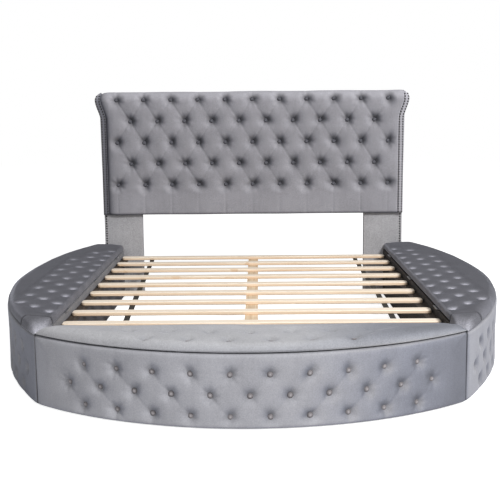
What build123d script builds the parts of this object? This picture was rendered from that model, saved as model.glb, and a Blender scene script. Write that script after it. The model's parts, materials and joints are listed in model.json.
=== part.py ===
"""Round upholstered storage bed, queen size.

A slatted mattress well stands between a tufted headboard and three storage benches. The foot bench
is a segment of a circle across the front, and each side bench is a longer, flatter segment beside
the mattress. Each bench is a plywood box with a curved wall under a tufted velvet pad, and a padded
lid that is hinged along its straight edge, next to the mattress.

X runs across the bed, +Y towards the headboard and +Z up. The origin is on the floor, in the middle
of the bed's overall length and width. Lengths are in millimetres.
"""
import os
from math import asin, atan2, cos, degrees, hypot, pi, sin, sqrt

from build123d import *

# Sides of the small pieces: bolts and bores, then knuckles, buttons and bumpers, then glides
round_sides = 8
stud_sides = 6
glide_sides = 4

# Plan of the bed
well_width = 1544
well_length = 2070
foot_reach = 348
corner_reach = 36
corner_setback = 50
head_end_reach = 174
side_bulge = 259

# Heights of the benches
glide_height = 6
box_height = 272
lid_gap = 3
lid_edge_height = 26
lid_crown = 36
foot_lid_heights = (24, 36, 33, 14)

# Boards, pads and the clearances between them
board = 15
lid_board_thickness = 12
wall_pad_thickness = 28
wall_pad_round = 9
skirt_gap = 4
fit_gap = 0.3
unit_gap = 0.3
seam_gap = 3
overrun = 2
cap_length = 110
lid_edge_round = 16
lid_lean_share = 0.35
mitre_lean_share = 1
lid_rim = 14

# Tufting
button_radius = 11
button_height = 5
seat_margin = 0.6
dimple_share = 0.44
wall_dimple_depth = 16
lid_dimple_depth = 14
wall_row_height = 121
wall_row_pitch = 75.5
foot_wall_button_count = 11
foot_wall_margin = 177
side_wall_button_count = 15
side_wall_margin = 114
lid_row_inset = 36
lid_row_pitch = 78
lid_first_button = 212
lid_last_button = 233
side_lid_row_counts = (11, 10, 8)
foot_lid_margin = 334
foot_lid_row_inset = 70
foot_lid_row_pitch = 95
foot_lid_row_radius = 3500
foot_lid_row_counts = (6, 7)

# Headboard
headboard_top = 1202
headboard_bottom = 492
headboard_overlap = 109
border_width = 32
border_setback = 3
border_flare = 32
border_flare_height = 165
border_ear_radius = 38
flare_step_count = 3
roll_radius = 55
roll_core_radius = 30
pad_front = 25
core_front = 12
core_thickness = 28
back_cover_thickness = 3
headboard_dimple_depth = 18
headboard_button_margin = 59
headboard_row_pitch = 123.5
headboard_first_row = 42
headboard_row_counts = (11, 10, 11, 10, 11)
headboard_edge_round = 8

# Headboard legs and their bolts
leg_width = 226
leg_thickness = 40
leg_bolt_radius = 5
leg_bolt_length = 110
leg_bolt_spacing = 120
bench_bolt_radius = 4
bench_bolt_head_radius = 8
bench_bolt_head = 5
bench_bolt_low = 100
bench_bolt_spacing = 110
bench_bolt_inset = 48
bolt_clearance = 0.2

# Slats and what carries them
slat_count = 9
slat_end_gap = 7
slat_width = 57
slat_thickness = 16
slat_drop = 20
slat_corner_ease = 9
first_slat_setback = 100
last_slat_setback = 250
ledge_size = 25
strap_width = 25
strap_thickness = 1.5
strap_inset = 180
strap_drift = 76
beam_width = 55
beam_depth = 45
beam_head_gap = 60
beam_leg_size = 45
beam_leg_count = 3
hanger_steel = 3
hanger_length = 45
hanger_flange = 20
bracket_size = 60
bracket_drop = 41

# Hinges, bumpers and glides
hinge_length = 75
hinge_count = 3
knuckle_radius = 3
knuckle_gap = 0.3
pin_radius = 1.45
pin_clearance = 0.05
leaf_thickness = 1.2
box_leaf_width = 17
lid_leaf_width = 37
hinge_end_share = 0.14
bumper_radius = 6
bumper_clearance = 0.3
bumper_count = 3
glide_radius = 7
wall_glide_count = 4

# Places worked out from the sizes above
half_well = well_width / 2
corner_width = well_width + 2 * corner_reach
head_end_width = well_width + 2 * head_end_reach
headboard_width = well_width + 2 * headboard_overlap
roll_back = 2 * roll_radius - pad_front
overall_length = foot_reach + well_length + roll_back
front_y = -overall_length / 2
join_y = front_y + foot_reach
corner_y = join_y - corner_setback
head_y = join_y + well_length
reach = overall_length
lid_low = box_height + lid_gap
lid_top = lid_low + lid_crown
slat_top = box_height - slat_drop
slat_low = slat_top - slat_thickness
hinge_setback = knuckle_radius + fit_gap
hinge_x = half_well - hinge_setback
hinge_z = box_height + lid_gap / 2
wall_inset = wall_pad_thickness + fit_gap
inner_inset = wall_inset + board + fit_gap
lid_front_y = join_y + cap_length
slat_length = well_width - 2 * slat_end_gap
slat_pitch = (well_length - first_slat_setback - last_slat_setback) / (slat_count - 1)
strap_place = half_well - strap_inset
pad_width = headboard_width - 2 * border_width
headboard_button_pitch = (pad_width - 2 * headboard_button_margin) / (max(headboard_row_counts) - 1)
lid_button_pitch = (well_length - lid_first_button - lid_last_button) / (max(side_lid_row_counts) - 1)
foot_lid_pitch = (well_width - 2 * foot_lid_margin) / (max(foot_lid_row_counts) - 1)


def bulging_circle(start, end, rise):
    """Centre and radius of the circle through two plan points, rising to the right of their chord."""
    run_x, run_y = end[0] - start[0], end[1] - start[1]
    chord = hypot(run_x, run_y)
    radius = chord ** 2 / (8 * rise) + rise / 2
    drop = (rise - radius) / chord
    return ((start[0] + end[0]) / 2 + run_y * drop, (start[1] + end[1]) / 2 - run_x * drop, radius)


foot_circle = bulging_circle(
    (-corner_width / 2, corner_y), (corner_width / 2, corner_y), foot_reach - corner_setback)
side_circle = bulging_circle((corner_width / 2, corner_y), (head_end_width / 2, head_y), side_bulge)
foot_half_angle = asin(corner_width / 2 / foot_circle[2])
side_half_angle = asin(hypot((head_end_width - corner_width) / 2, head_y - corner_y) / 2 / side_circle[2])


def disc(circle, inset=0):
    """The plan inside a bench's curved outline, moved in by an inset."""
    return Pos(circle[0], circle[1]) * Circle(circle[2] - inset)


def polygon(*points):
    """A flat face with straight sides."""
    return make_face(Polyline(*points, close=True))


def box_between(low, high):
    """An upright block between two opposite corners."""
    size = [high[i] - low[i] for i in range(3)]
    centre = [(high[i] + low[i]) / 2 for i in range(3)]
    return Pos(*centre) * Box(*size)


def upright(face, low, high):
    """A plan raised between two heights."""
    return extrude(Pos(0, 0, low) * face, amount=high - low)


def shrink(face, amount):
    """A straight-sided plan with each side moved in."""
    return offset(face, amount=-amount, kind=Kind.INTERSECTION)


def group(pieces):
    """Like pieces kept together, as separate solids."""
    return Compound([solid for piece in pieces for solid in piece.solids()])


def mitre_y(x):
    """Where the joint between foot bench and side bench lies at a place across the bed."""
    slope = corner_setback / (corner_width / 2 - half_well)
    return join_y - slope * (x - half_well)


def side_region():
    """The floor to the right of the mattress well, from the mitred corner to the headboard legs."""
    return polygon((half_well, join_y), (half_well, head_y), (reach, head_y), (reach, mitre_y(reach)))


def foot_region():
    """The floor in front of the mattress well, between the two mitred corners."""
    far_y = 2 * mitre_y(reach)
    return polygon((-half_well, join_y), (half_well, join_y), (reach, mitre_y(reach)),
                   (reach, far_y), (-reach, far_y), (-reach, mitre_y(reach)))


def turned(circle, profile):
    """A profile of (radius, height) points swept round a bench's centre."""
    ring = revolve(Plane.XZ * polygon(*profile), axis=Axis.Z)
    return Pos(circle[0], circle[1]) * ring


def rod(radius, sides=round_sides):
    """The outline of a small round rod, with its corners on the circle."""
    return RegularPolygon(radius, sides)


def bore(radius):
    """The outline of the hole that a rod of the same radius just fits."""
    return RegularPolygon(radius, round_sides, major_radius=False)


def dimple(half_width, half_height, depth):
    """The four-sided hollow that a button pulls into a pad, with its mouth round the pad's surface."""
    seat = button_radius + seat_margin
    spread = 1 + overrun / depth
    wide, tall = [seat + (half - seat) * spread for half in (half_width, half_height)]
    hollow = Wedge(2 * wide, depth + overrun, 2 * tall, wide - seat, tall - seat, wide + seat, tall + seat)
    return Pos(0, 0, (overrun - depth) / 2) * Rot(-90, 0, 0) * hollow


def button(depth):
    """One covered button, a low dome on the floor of its dimple."""
    return Pos(0, 0, -depth) * loft(
        [rod(button_radius, stud_sides), Vertex(0, 0, button_height)], ruled=True)


def tuft(pad, places, half_width, half_height, depth):
    """A pad with a dimple at each place, and the buttons that sit in them."""
    hollow, knob = dimple(half_width, half_height, depth), button(depth)
    return pad - [place * hollow for place in places], group([place * knob for place in places])


def staggered(rows, pitch):
    """Distances from the middle for rows of buttons, each row centred on it."""
    return [[pitch * (i - (count - 1) / 2) for i in range(count)] for count in rows]


def wall_places(circle, middle_angle, count, pitch):
    """Places of three staggered button rows round a curved wall, facing outwards."""
    places = []
    for row, spots in enumerate(staggered((count - 1, count, count - 1), pitch)):
        height = wall_row_height + (1 - row) * wall_row_pitch
        for along in spots:
            angle = middle_angle + along / circle[2]
            out = Vector(cos(angle), sin(angle), 0)
            origin = Vector(circle[0], circle[1], height) + out * circle[2]
            places.append(Plane(origin=origin, x_dir=(-sin(angle), cos(angle), 0), z_dir=out).location)
    return places


def side_middle_angle():
    """Direction from the side bench's centre to the middle of its curved wall."""
    start = atan2(corner_y - side_circle[1], corner_width / 2 - side_circle[0])
    end = atan2(head_y - side_circle[1], head_end_width / 2 - side_circle[0])
    return (start + end) / 2


def curved_wall(circle, region):
    """The bent plywood wall of a bench."""
    ring = disc(circle, wall_inset) - disc(circle, wall_inset + board)
    return upright(ring & shrink(region, unit_gap / 2), glide_height, box_height)


def curved_pad(circle, region, middle_angle, half_angle, count, margin):
    """The tufted pad on a bench's wall, with its buttons."""
    pitch = (2 * half_angle * circle[2] - 2 * margin) / (count - 1)
    outer, inner, rim = circle[2], circle[2] - wall_pad_thickness, wall_pad_round
    ring = turned(circle, ((inner, skirt_gap), (outer - rim, skirt_gap), (outer, skirt_gap + rim),
                           (outer, box_height - rim), (outer - rim, box_height), (inner, box_height)))
    pad = ring & upright(shrink(region, unit_gap / 2), 0, lid_top)
    places = wall_places(circle, middle_angle, count, pitch)
    return tuft(pad, places, dimple_share * pitch / 2, dimple_share * wall_row_pitch, wall_dimple_depth)


def interior(circle, region, inset=0):
    """The plan inside a bench's curved wall."""
    return disc(circle, inner_inset) & shrink(region, inset)


def leaning(region, high, lean_share):
    """A straight-sided plan raised above the benches, with its sides leaning in."""
    return extrude(Pos(0, 0, lid_low) * shrink(region, seam_gap / 2), amount=high - lid_low,
                   taper=degrees(atan2(lean_share, 1)))


def padded_block(circle, region, low, crown, lean_share):
    """A padded top with leaning straight sides, a rounded curved edge and a crown."""
    outer, edge = circle[2], lid_edge_round
    high = lid_top + overrun
    rounded = turned(circle, ((0, low), (outer, low), (outer, lid_low + edge),
                              (outer - edge, lid_low + lid_edge_height), (outer - high + lid_low, high),
                              (0, high)))
    block = rounded & leaning(region, high, lean_share) & crown
    if low < lid_low:
        block += upright(disc(circle) & shrink(region, seam_gap / 2), low, lid_low)
    return block


def crown_radius(half_span):
    """Radius of the arch that rises from a lid's edge height to its crown."""
    rise = lid_crown - lid_edge_height
    return half_span ** 2 / (2 * rise) + rise / 2


side_width = side_circle[0] + side_circle[2] - half_well
side_crown_radius = crown_radius(side_width / 2)
side_crown_x = half_well + side_width / 2


def arch_drop(distance, radius):
    """How far an arch has fallen at a distance from its top."""
    return radius - sqrt(radius ** 2 - distance ** 2)


def side_lid_height(x):
    """Height of a side lid's arched top at a place across the bed."""
    return lid_top - arch_drop(x - side_crown_x, side_crown_radius)


def foot_lid_height(y):
    """Height of the foot lid's top at a place along the bed, highest in front of its middle."""
    step = foot_reach / (len(foot_lid_heights) - 1)
    i = min(int((y - front_y) / step), len(foot_lid_heights) - 2)
    share = (y - front_y) / step - i
    return lid_low + foot_lid_heights[i] + share * (foot_lid_heights[i + 1] - foot_lid_heights[i])


def under_crown(places, height):
    """The outline below a row of flat strips, from a height at each of their edges."""
    return polygon((places[0], 0), *[(place, height(place)) for place in places], (places[-1], 0))


def side_crown():
    """The space under a side lid's top, in strips that meet between its button rows."""
    rows = [half_well + lid_row_inset + (row + half) * lid_row_pitch
            for row, half in enumerate([1 / 2] * len(side_lid_row_counts))]
    profile = under_crown([half_well, *rows, half_well + side_width + overrun], side_lid_height)
    return along_y(profile, -reach, 2 * reach)


def foot_crown():
    """The space under the foot lid's top, in strips along its rear edge."""
    profile = under_crown(spread(front_y, join_y, len(foot_lid_heights)), foot_lid_height)
    return along_x(profile, -reach, reach)


def side_lid_region():
    """The plan of a side lid, behind the fixed corner cap."""
    return polygon((half_well, lid_front_y), (half_well, head_y), (reach, head_y), (reach, lid_front_y))


def side_cap_region():
    """The plan of the fixed corner cap in front of a side lid."""
    return polygon((half_well, join_y), (half_well, lid_front_y), (reach, lid_front_y),
                   (reach, mitre_y(reach)))


def behind_mitre():
    """The plan behind the mitred corner joint, with its other sides far off."""
    far_x = half_well - reach
    return polygon((far_x, mitre_y(far_x)), (reach, mitre_y(reach)), (reach, mitre_y(far_x)))


def corner_cap(crown):
    """The fixed padded cap, with a wide slope along the joint where the foot lid swings past it."""
    cap = padded_block(side_circle, side_cap_region(), box_height, crown, lid_lean_share)
    slope = leaning(behind_mitre(), lid_top + overrun, mitre_lean_share)
    return cap & (slope + upright(behind_mitre(), box_height, lid_low))


def lid_board(circle, region):
    """The plywood board inside a lid, held in from the pad's edge."""
    plan = disc(circle, lid_rim + fit_gap) & shrink(region, lid_rim + seam_gap / 2)
    return upright(plan, lid_low, lid_low + lid_board_thickness)


def lid_pad(circle, region, crown, lean_share):
    """A lid's pad, with the pocket that its board fills."""
    pocket = disc(circle, lid_rim) & shrink(region, lid_rim + seam_gap / 2)
    return padded_block(circle, region, lid_low, crown, lean_share) - upright(pocket, 0, lid_low + lid_board_thickness)


def side_lid_places():
    """Button places on the right lid, in rows along the mattress edge."""
    places = []
    for row, count in enumerate(side_lid_row_counts):
        x = half_well + lid_row_inset + row * lid_row_pitch
        start = join_y + lid_first_button + row * lid_button_pitch / 2
        places += [Location((x, start + i * lid_button_pitch, side_lid_height(x))) for i in range(count)]
    return places


def foot_lid_places():
    """Button places on the foot lid, in two gently curved rows."""
    places = []
    for row, spots in enumerate(staggered(foot_lid_row_counts, foot_lid_pitch)):
        row_y = front_y + foot_lid_row_inset + row * foot_lid_row_pitch
        for x in spots:
            y = row_y + arch_drop(x, foot_lid_row_radius)
            places.append(Location((x, y, foot_lid_height(y))))
    return places


def along_y(profile, start, length):
    """A profile of across and up points, run along the bed."""
    return Pos(0, start + length, 0) * extrude(Plane.XZ * profile, amount=length)


def hinge_leaf(width, low, knuckle_spans):
    """One leaf of a butt hinge, lying outwards of its pin axis."""
    middle = low + leaf_thickness / 2
    clear = knuckle_radius + knuckle_gap
    flap = Pos((width + clear) / 2, middle) * Rectangle(width - clear, leaf_thickness)
    neck = Pos(width / 2, middle) * Rectangle(width, leaf_thickness)
    rolled = (rod(knuckle_radius, stud_sides) + neck) - bore(pin_radius + pin_clearance)
    leaf = along_y(flap, -hinge_length / 2, hinge_length)
    for start, length in knuckle_spans:
        leaf += along_y(rolled, start, length)
    return leaf


def hinge_set():
    """Box leaf, lid leaf and pin of one butt hinge about the origin, lid side towards +X."""
    third = hinge_length / 3
    box_spans = ((-hinge_length / 2, third), (hinge_length / 2 - third, third))
    lid_spans = ((knuckle_gap - third / 2, third - 2 * knuckle_gap),)
    half_gap = lid_gap / 2
    return (hinge_leaf(box_leaf_width, -half_gap, box_spans),
            hinge_leaf(lid_leaf_width, half_gap - leaf_thickness, lid_spans),
            along_y(Circle(pin_radius), -hinge_length / 2, hinge_length))


def spread(low, high, count):
    """Evenly spaced places from one end to the other."""
    return [low + (high - low) * i / (count - 1) for i in range(count)]


def hinges(places):
    """Box leaves, lid leaves and pins of all the hinges of one lid."""
    return [group([place * piece for place in places]) for piece in hinge_set()]


def side_hinges():
    """Hinges along the inner edge of the right lid."""
    margin = hinge_end_share * (head_y - lid_front_y)
    places = spread(lid_front_y + margin, head_y - margin, hinge_count)
    return hinges([Location((hinge_x, y, hinge_z)) for y in places])


def foot_hinges():
    """Hinges along the rear edge of the foot lid."""
    margin = hinge_end_share * well_width
    places = spread(margin - half_well, half_well - margin, hinge_count)
    return hinges([Location((x, join_y + hinge_setback, hinge_z), (0, 0, -90)) for x in places])


def round_wall_spots(circle, middle_angle, half_angle, count):
    """Spots along the middle of a curved wall's edge."""
    radius = circle[2] - wall_inset - board / 2
    return [(circle[0] + radius * cos(a), circle[1] + radius * sin(a))
            for a in spread(middle_angle - half_angle, middle_angle + half_angle, count)]


spot_share = 0.8


def foot_wall_spots(count):
    """Spots on the foot bench's curved wall."""
    return round_wall_spots(foot_circle, -pi / 2, spot_share * foot_half_angle, count)


def side_wall_spots(count):
    """Spots on the right bench's curved wall."""
    return round_wall_spots(side_circle, side_middle_angle(), spot_share * side_half_angle, count)


def studs(spots, outline, low, high):
    """Small pieces of one outline standing between two heights."""
    return group([Pos(x, y, low) * extrude(outline, amount=high - low) for x, y in spots])


def side_bench():
    """Box, pads, lid and hinges of the right bench, by node name without its side."""
    region = side_region()
    box_top = box_height
    end_low_y = head_y - board
    panel = box_between((half_well, join_y, glide_height), (half_well + board, head_y, box_top))
    inside = interior(side_circle, region) & Pos(reach + half_well + board, 0) * Rectangle(2 * reach, 2 * reach)
    head_panel = upright(inside, glide_height, box_top) & box_between(
        (half_well, end_low_y, glide_height), (reach, head_y, box_top))
    floor_plan = inside & Pos(reach, end_low_y - reach) * Rectangle(2 * reach, 2 * reach)
    post_high_y = join_y + cap_length - bumper_radius
    post = upright(floor_plan, glide_height + board, box_top) & box_between(
        (half_well, corner_y, glide_height + board), (reach, post_high_y, box_top))
    wall_pad, wall_buttons = curved_pad(side_circle, region, side_middle_angle(), side_half_angle,
                                        side_wall_button_count, side_wall_margin)
    lid_region, crown = side_lid_region(), side_crown()
    half_width, half_height = dimple_share * lid_row_pitch, dimple_share * lid_button_pitch / 2
    top_pad, lid_buttons = tuft(lid_pad(side_circle, lid_region, crown, lid_lean_share), side_lid_places(),
                                half_width, half_height, lid_dimple_depth)
    box_leaves, lid_leaves, pins = side_hinges()
    return {
        "bench_inner_panel": panel,
        "bench_outer_wall": curved_wall(side_circle, region),
        "bench_base_board": upright(floor_plan, glide_height, glide_height + board),
        "bench_head_panel": head_panel - bench_bolt_holes(),
        "bench_corner_post": post,
        "bench_corner_cap": corner_cap(crown),
        "bench_wall_pad": wall_pad,
        "bench_wall_buttons": wall_buttons,
        "lid_board": lid_board(side_circle, lid_region),
        "lid_pad": top_pad,
        "lid_buttons": lid_buttons,
        "hinge_box_leaves": box_leaves,
        "hinge_lid_leaves": lid_leaves,
        "hinge_pins": pins,
    }


def foot_bench():
    """Box, pads, lid and hinges of the foot bench, by node name."""
    region = foot_region()
    inside = interior(foot_circle, region)
    panel_front = join_y - board
    panel = upright(inside, glide_height, box_height) & box_between(
        (-reach, panel_front, glide_height), (reach, join_y, box_height))
    floor_plan = inside & Pos(0, panel_front - reach) * Rectangle(2 * reach, 2 * reach)
    post_x = corner_width / 2 - cap_length
    posts = upright(floor_plan, glide_height + board, box_height) - box_between(
        (-post_x, 2 * front_y, 0), (post_x, join_y, lid_top))
    wall_pad, wall_buttons = curved_pad(foot_circle, region, -pi / 2, foot_half_angle,
                                        foot_wall_button_count, foot_wall_margin)
    half_width, half_height = dimple_share * foot_lid_pitch / 2, dimple_share * foot_lid_row_pitch
    top_pad, lid_buttons = tuft(lid_pad(foot_circle, region, foot_crown(), mitre_lean_share),
                                foot_lid_places(), half_width, half_height, lid_dimple_depth)
    box_leaves, lid_leaves, pins = foot_hinges()
    return {
        "foot_bench_inner_panel": panel,
        "foot_bench_outer_wall": curved_wall(foot_circle, region),
        "foot_bench_base_board": upright(floor_plan, glide_height, glide_height + board),
        "foot_bench_corner_posts": group([posts]),
        "foot_bench_wall_pad": wall_pad,
        "foot_bench_wall_buttons": wall_buttons,
        "foot_lid_board": lid_board(foot_circle, region),
        "foot_lid_pad": top_pad,
        "foot_lid_buttons": lid_buttons,
        "foot_hinge_box_leaves": box_leaves,
        "foot_hinge_lid_leaves": lid_leaves,
        "foot_hinge_pins": pins,
    }


def roll_profile(front, radius):
    """Side view of a layer of the headboard that rolls back over the top, from a front face."""
    roll_z = headboard_top - roll_radius
    roll_y = head_y - pad_front + roll_radius
    slab_back = head_y + core_front + core_thickness + back_cover_thickness
    slab = Pos((front + slab_back) / 2, (headboard_bottom + roll_z) / 2) * Rectangle(
        slab_back - front, roll_z - headboard_bottom)
    return slab + Pos(roll_y, roll_z) * Circle(radius)


def along_x(profile, low, high):
    """A profile of along and up points, run across the bed."""
    return Pos(low, 0, 0) * extrude(Plane.YZ * profile, amount=high - low)


def headboard_core():
    """The board and the roll core that the headboard is built on."""
    half = pad_width / 2
    low_y = head_y + core_front
    roll_z = headboard_top - roll_radius
    profile = Pos(low_y + core_thickness / 2, (headboard_bottom + roll_z) / 2) * Rectangle(
        core_thickness, roll_z - headboard_bottom)
    profile += Pos(head_y - pad_front + roll_radius, roll_z) * rod(roll_core_radius)
    return along_x(profile, -half, half) - leg_bolt_holes()


def flared_side(inset):
    """One side of the headboard seen from the front, from its foot up to where it is widest."""
    edge = headboard_width / 2 - inset
    low, high = headboard_top - border_flare_height, headboard_top - border_ear_radius
    points = [(edge, headboard_bottom)]
    for step in range(flare_step_count + 1):
        share = step / flare_step_count
        points.append((edge + border_flare * share ** 2 * (3 - 2 * share), low + share * (high - low)))
    return points


def pad_front_view():
    """The tufted pad seen from the front, with its flared sides and no top."""
    side = flared_side(border_width)
    side.append((side[-1][0], headboard_top + overrun))
    return polygon(*side, *[(-x, z) for x, z in reversed(side)])


def headboard_pad():
    """The tufted front pad that rolls over the top, with its buttons."""
    half = pad_width / 2 + border_flare
    front = head_y - pad_front
    back = head_y + core_front
    roll_z, roll_y = headboard_top - roll_radius, front + roll_radius
    rim = headboard_edge_round
    slab = polygon((front, headboard_bottom + rim), (front + rim, headboard_bottom), (back, headboard_bottom),
                   (back, roll_z), (front, roll_z))
    profile = slab + Pos(roll_y, roll_z) * Circle(roll_radius)
    behind = head_y + core_front + core_thickness + back_cover_thickness + fit_gap
    profile -= Pos(roll_y, roll_z) * rod(roll_core_radius + fit_gap)
    profile -= Pos((back + behind) / 2, (headboard_bottom + roll_z) / 2) * Rectangle(
        behind - back, roll_z - headboard_bottom)
    pad = along_x(profile, -half, half) & extrude(Plane.XZ * pad_front_view(), amount=reach, both=True)
    places = []
    for row, spots in enumerate(staggered(headboard_row_counts, headboard_button_pitch)):
        z = headboard_top - headboard_first_row - row * headboard_row_pitch
        places += [Plane(origin=(x, front, z), x_dir=(1, 0, 0), z_dir=(0, -1, 0)).location for x in spots]
    half_width, half_height = dimple_share * headboard_button_pitch / 2, dimple_share * headboard_row_pitch
    return tuft(pad, places, half_width, half_height, headboard_dimple_depth)


def headboard_back_cover():
    """The flat panel that closes the headboard's back, below the roll."""
    half = pad_width / 2
    low_y = head_y + core_front + core_thickness
    offset_y = low_y + back_cover_thickness - (head_y - pad_front + roll_radius)
    roll_z = headboard_top - roll_radius
    high = roll_z - sqrt(roll_radius ** 2 - offset_y ** 2) - fit_gap
    return box_between((-half, low_y, headboard_bottom), (half, low_y + back_cover_thickness, high))


def headboard_border():
    """The right edge strip, which follows the roll and flares out into an ear at the top."""
    side = flared_side(0)
    ear, ear_z = side[-1]
    for turn in (pi / 4, pi / 2):
        side.append((ear + border_ear_radius * (cos(turn) - 1), ear_z + border_ear_radius * sin(turn)))
    outline = polygon(*side, (0, headboard_top), (0, headboard_bottom)) - pad_front_view()
    front_view = extrude(Plane.XZ * outline, amount=reach, both=True)
    layer = roll_profile(head_y - pad_front + border_setback, roll_radius)
    return along_x(layer, pad_width / 2, ear) & front_view


def leg_bolts(outline=rod(leg_bolt_radius), clearance=0):
    """Upright bolts that join both headboard legs to the headboard's core, or the holes for them."""
    middle = headboard_width / 2 - leg_width / 2
    y = head_y + core_front + core_thickness / 2
    spots = [(side * (middle + step * leg_bolt_spacing / 2), y) for side in (-1, 1) for step in (-1, 1)]
    low = headboard_bottom - leg_bolt_length / 2 - clearance
    high = headboard_bottom + leg_bolt_length / 2 + clearance
    return studs(spots, outline, low, high)


def leg_bolt_holes():
    """The holes for the upright bolts."""
    return leg_bolts(bore(leg_bolt_radius + bolt_clearance), bolt_clearance)


def bench_bolts(outline=rod(bench_bolt_radius)):
    """Bolts from behind the right leg into the side bench's head panel, or the holes for them."""
    x = half_well + board + bench_bolt_inset
    back = head_y + leg_thickness
    bolts = []
    for z in (bench_bolt_low, bench_bolt_low + bench_bolt_spacing):
        place = Plane(origin=(x, back, z), x_dir=(1, 0, 0), z_dir=(0, 1, 0)).location
        shank = extrude(outline, amount=-(leg_thickness + board))
        head = extrude(rod(bench_bolt_head_radius), amount=bench_bolt_head)
        bolts.append(place * (shank + head))
    return bolts


def bench_bolt_holes():
    """The holes for the bench's bolts."""
    return bench_bolts(bore(bench_bolt_radius + bolt_clearance))


def headboard_leg():
    """The right upholstered leg board under the headboard."""
    outer = headboard_width / 2
    leg = box_between((outer - leg_width, head_y, glide_height), (outer, head_y + leg_thickness,
                                                                  headboard_bottom))
    return leg - leg_bolt_holes() - bench_bolt_holes()


def slats():
    """The row of pine slats with their corners eased."""
    plan = Rectangle(slat_length, slat_width)
    plan = chamfer(plan.vertices(), slat_corner_ease)
    first = head_y - first_slat_setback
    return group([upright(Pos(0, first - i * slat_pitch) * plan, slat_low, slat_top)
                  for i in range(slat_count)])


def strap(head_x, foot_x):
    """A webbing strap under the slats, from the first slat to the last."""
    high_y = head_y - first_slat_setback + slat_width / 2
    low_y = high_y - (slat_count - 1) * slat_pitch - slat_width
    half = strap_width / 2
    plan = polygon((head_x - half, high_y), (head_x + half, high_y), (foot_x + half, low_y),
                   (foot_x - half, low_y))
    return upright(plan, slat_low - strap_thickness, slat_low)


def slat_ledge():
    """The batten on the right bench's inner panel that carries the slat ends."""
    return box_between((half_well - ledge_size, join_y, slat_low - ledge_size),
                       (half_well, head_y, slat_low))


def centre_beam():
    """The lengthwise beam under the middle of the slats."""
    half = beam_width / 2
    return box_between((-half, join_y + hanger_steel, slat_low - beam_depth),
                       (half, head_y - beam_head_gap, slat_low))


def beam_leg_spots():
    """Where the centre beam's legs stand."""
    return [(0, y) for y in spread(join_y + well_length / beam_leg_count,
                                   head_y - beam_head_gap - beam_leg_size / 2, beam_leg_count)]


def centre_beam_legs():
    """The square legs under the centre beam."""
    half = beam_leg_size / 2
    return group([box_between((x - half, y - half, glide_height), (x + half, y + half, slat_low - beam_depth))
                  for x, y in beam_leg_spots()])


def beam_hanger():
    """The steel cradle on the foot bench that holds the end of the centre beam."""
    half = beam_width / 2 + fit_gap
    low = slat_low - beam_depth
    flange = box_between((-half - hanger_flange, join_y, low - hanger_steel),
                         (half + hanger_flange, join_y + hanger_steel, slat_low - overrun))
    cradle = box_between((-half - hanger_steel, join_y, low - hanger_steel),
                         (half + hanger_steel, join_y + hanger_length, low + beam_depth / 2))
    room = box_between((-half, join_y + hanger_steel, low), (half, join_y + 2 * hanger_length, slat_top))
    return flange + (cradle - room)


def corner_bracket():
    """The steel angle in the right front corner of the well that ties two benches together."""
    high = slat_low - ledge_size - bracket_drop
    low = high - bracket_size
    foot_leaf = box_between((half_well - bracket_size, join_y, low), (half_well, join_y + hanger_steel, high))
    side_leaf = box_between((half_well - hanger_steel, join_y, low), (half_well, join_y + bracket_size, high))
    return foot_leaf + side_leaf


def lid_bumpers():
    """The rubber bumpers on the benches' curved walls, just under the closed lids."""
    right = side_wall_spots(bumper_count)
    spots = right + [(-x, y) for x, y in right] + foot_wall_spots(bumper_count)
    return studs(spots, rod(bumper_radius, stud_sides), box_height, lid_low - bumper_clearance)


def glides():
    """The plastic glides under every wall, panel and leg."""
    inner_x = half_well + board / 2
    inner_y = spread(join_y + board, head_y - board, wall_glide_count)
    leg_y = head_y + leg_thickness / 2
    leg_x = spread(headboard_width / 2 - leg_width + board, headboard_width / 2 - board, 2)
    right = side_wall_spots(wall_glide_count) + [(inner_x, y) for y in inner_y] + [(x, leg_y) for x in leg_x]
    spots = right + [(-x, y) for x, y in right] + foot_wall_spots(wall_glide_count)
    spots += [(x, join_y - board / 2) for x in spread(-half_well / 2, half_well / 2, 2)] + beam_leg_spots()
    return studs(spots, rod(glide_radius, glide_sides), 0, glide_height)


def mirrored(piece):
    """The left-hand twin of a right-hand piece."""
    return mirror(piece, about=Plane.YZ)


def all_nodes():
    """Every node of the bed, by name."""
    nodes = {}
    for name, piece in side_bench().items():
        nodes[f"right_{name}"] = piece
        nodes[f"left_{name}"] = mirrored(piece)
    nodes.update(foot_bench())
    nodes["headboard_core"] = headboard_core()
    nodes["headboard_tufted_pad"], nodes["headboard_buttons"] = headboard_pad()
    nodes["headboard_back_cover"] = headboard_back_cover()
    nodes["headboard_leg_bolts"] = leg_bolts()
    border, leg = headboard_border(), headboard_leg()
    bolts = group(bench_bolts())
    nodes["headboard_right_border"], nodes["headboard_left_border"] = border, mirrored(border)
    nodes["right_leg_board"], nodes["left_leg_board"] = leg, mirrored(leg)
    nodes["bench_to_leg_bolts"] = group([bolts, mirrored(bolts)])
    nodes["slats"] = slats()
    straps = [strap(strap_place, strap_place), strap(-strap_place, strap_drift - strap_place)]
    nodes["webbing_straps"] = group(straps)
    nodes["slat_ledges"] = group([slat_ledge(), mirrored(slat_ledge())])
    nodes["centre_beam"] = centre_beam()
    nodes["centre_beam_legs"] = centre_beam_legs()
    nodes["centre_beam_hanger"] = beam_hanger()
    nodes["corner_brackets"] = group([corner_bracket(), mirrored(corner_bracket())])
    nodes["lid_bumpers"] = lid_bumpers()
    nodes["floor_glides"] = glides()
    return nodes


os.makedirs("parts", exist_ok=True)
for node_name, node_piece in all_nodes().items():
    export_step(group([node_piece]), f"parts/{node_name}.step")
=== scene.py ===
"""Round upholstered storage bed: the finish, the tufted velvet and the small hardware."""
import json
from math import acos, asin, cos, hypot, pi, sin, sqrt

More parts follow.
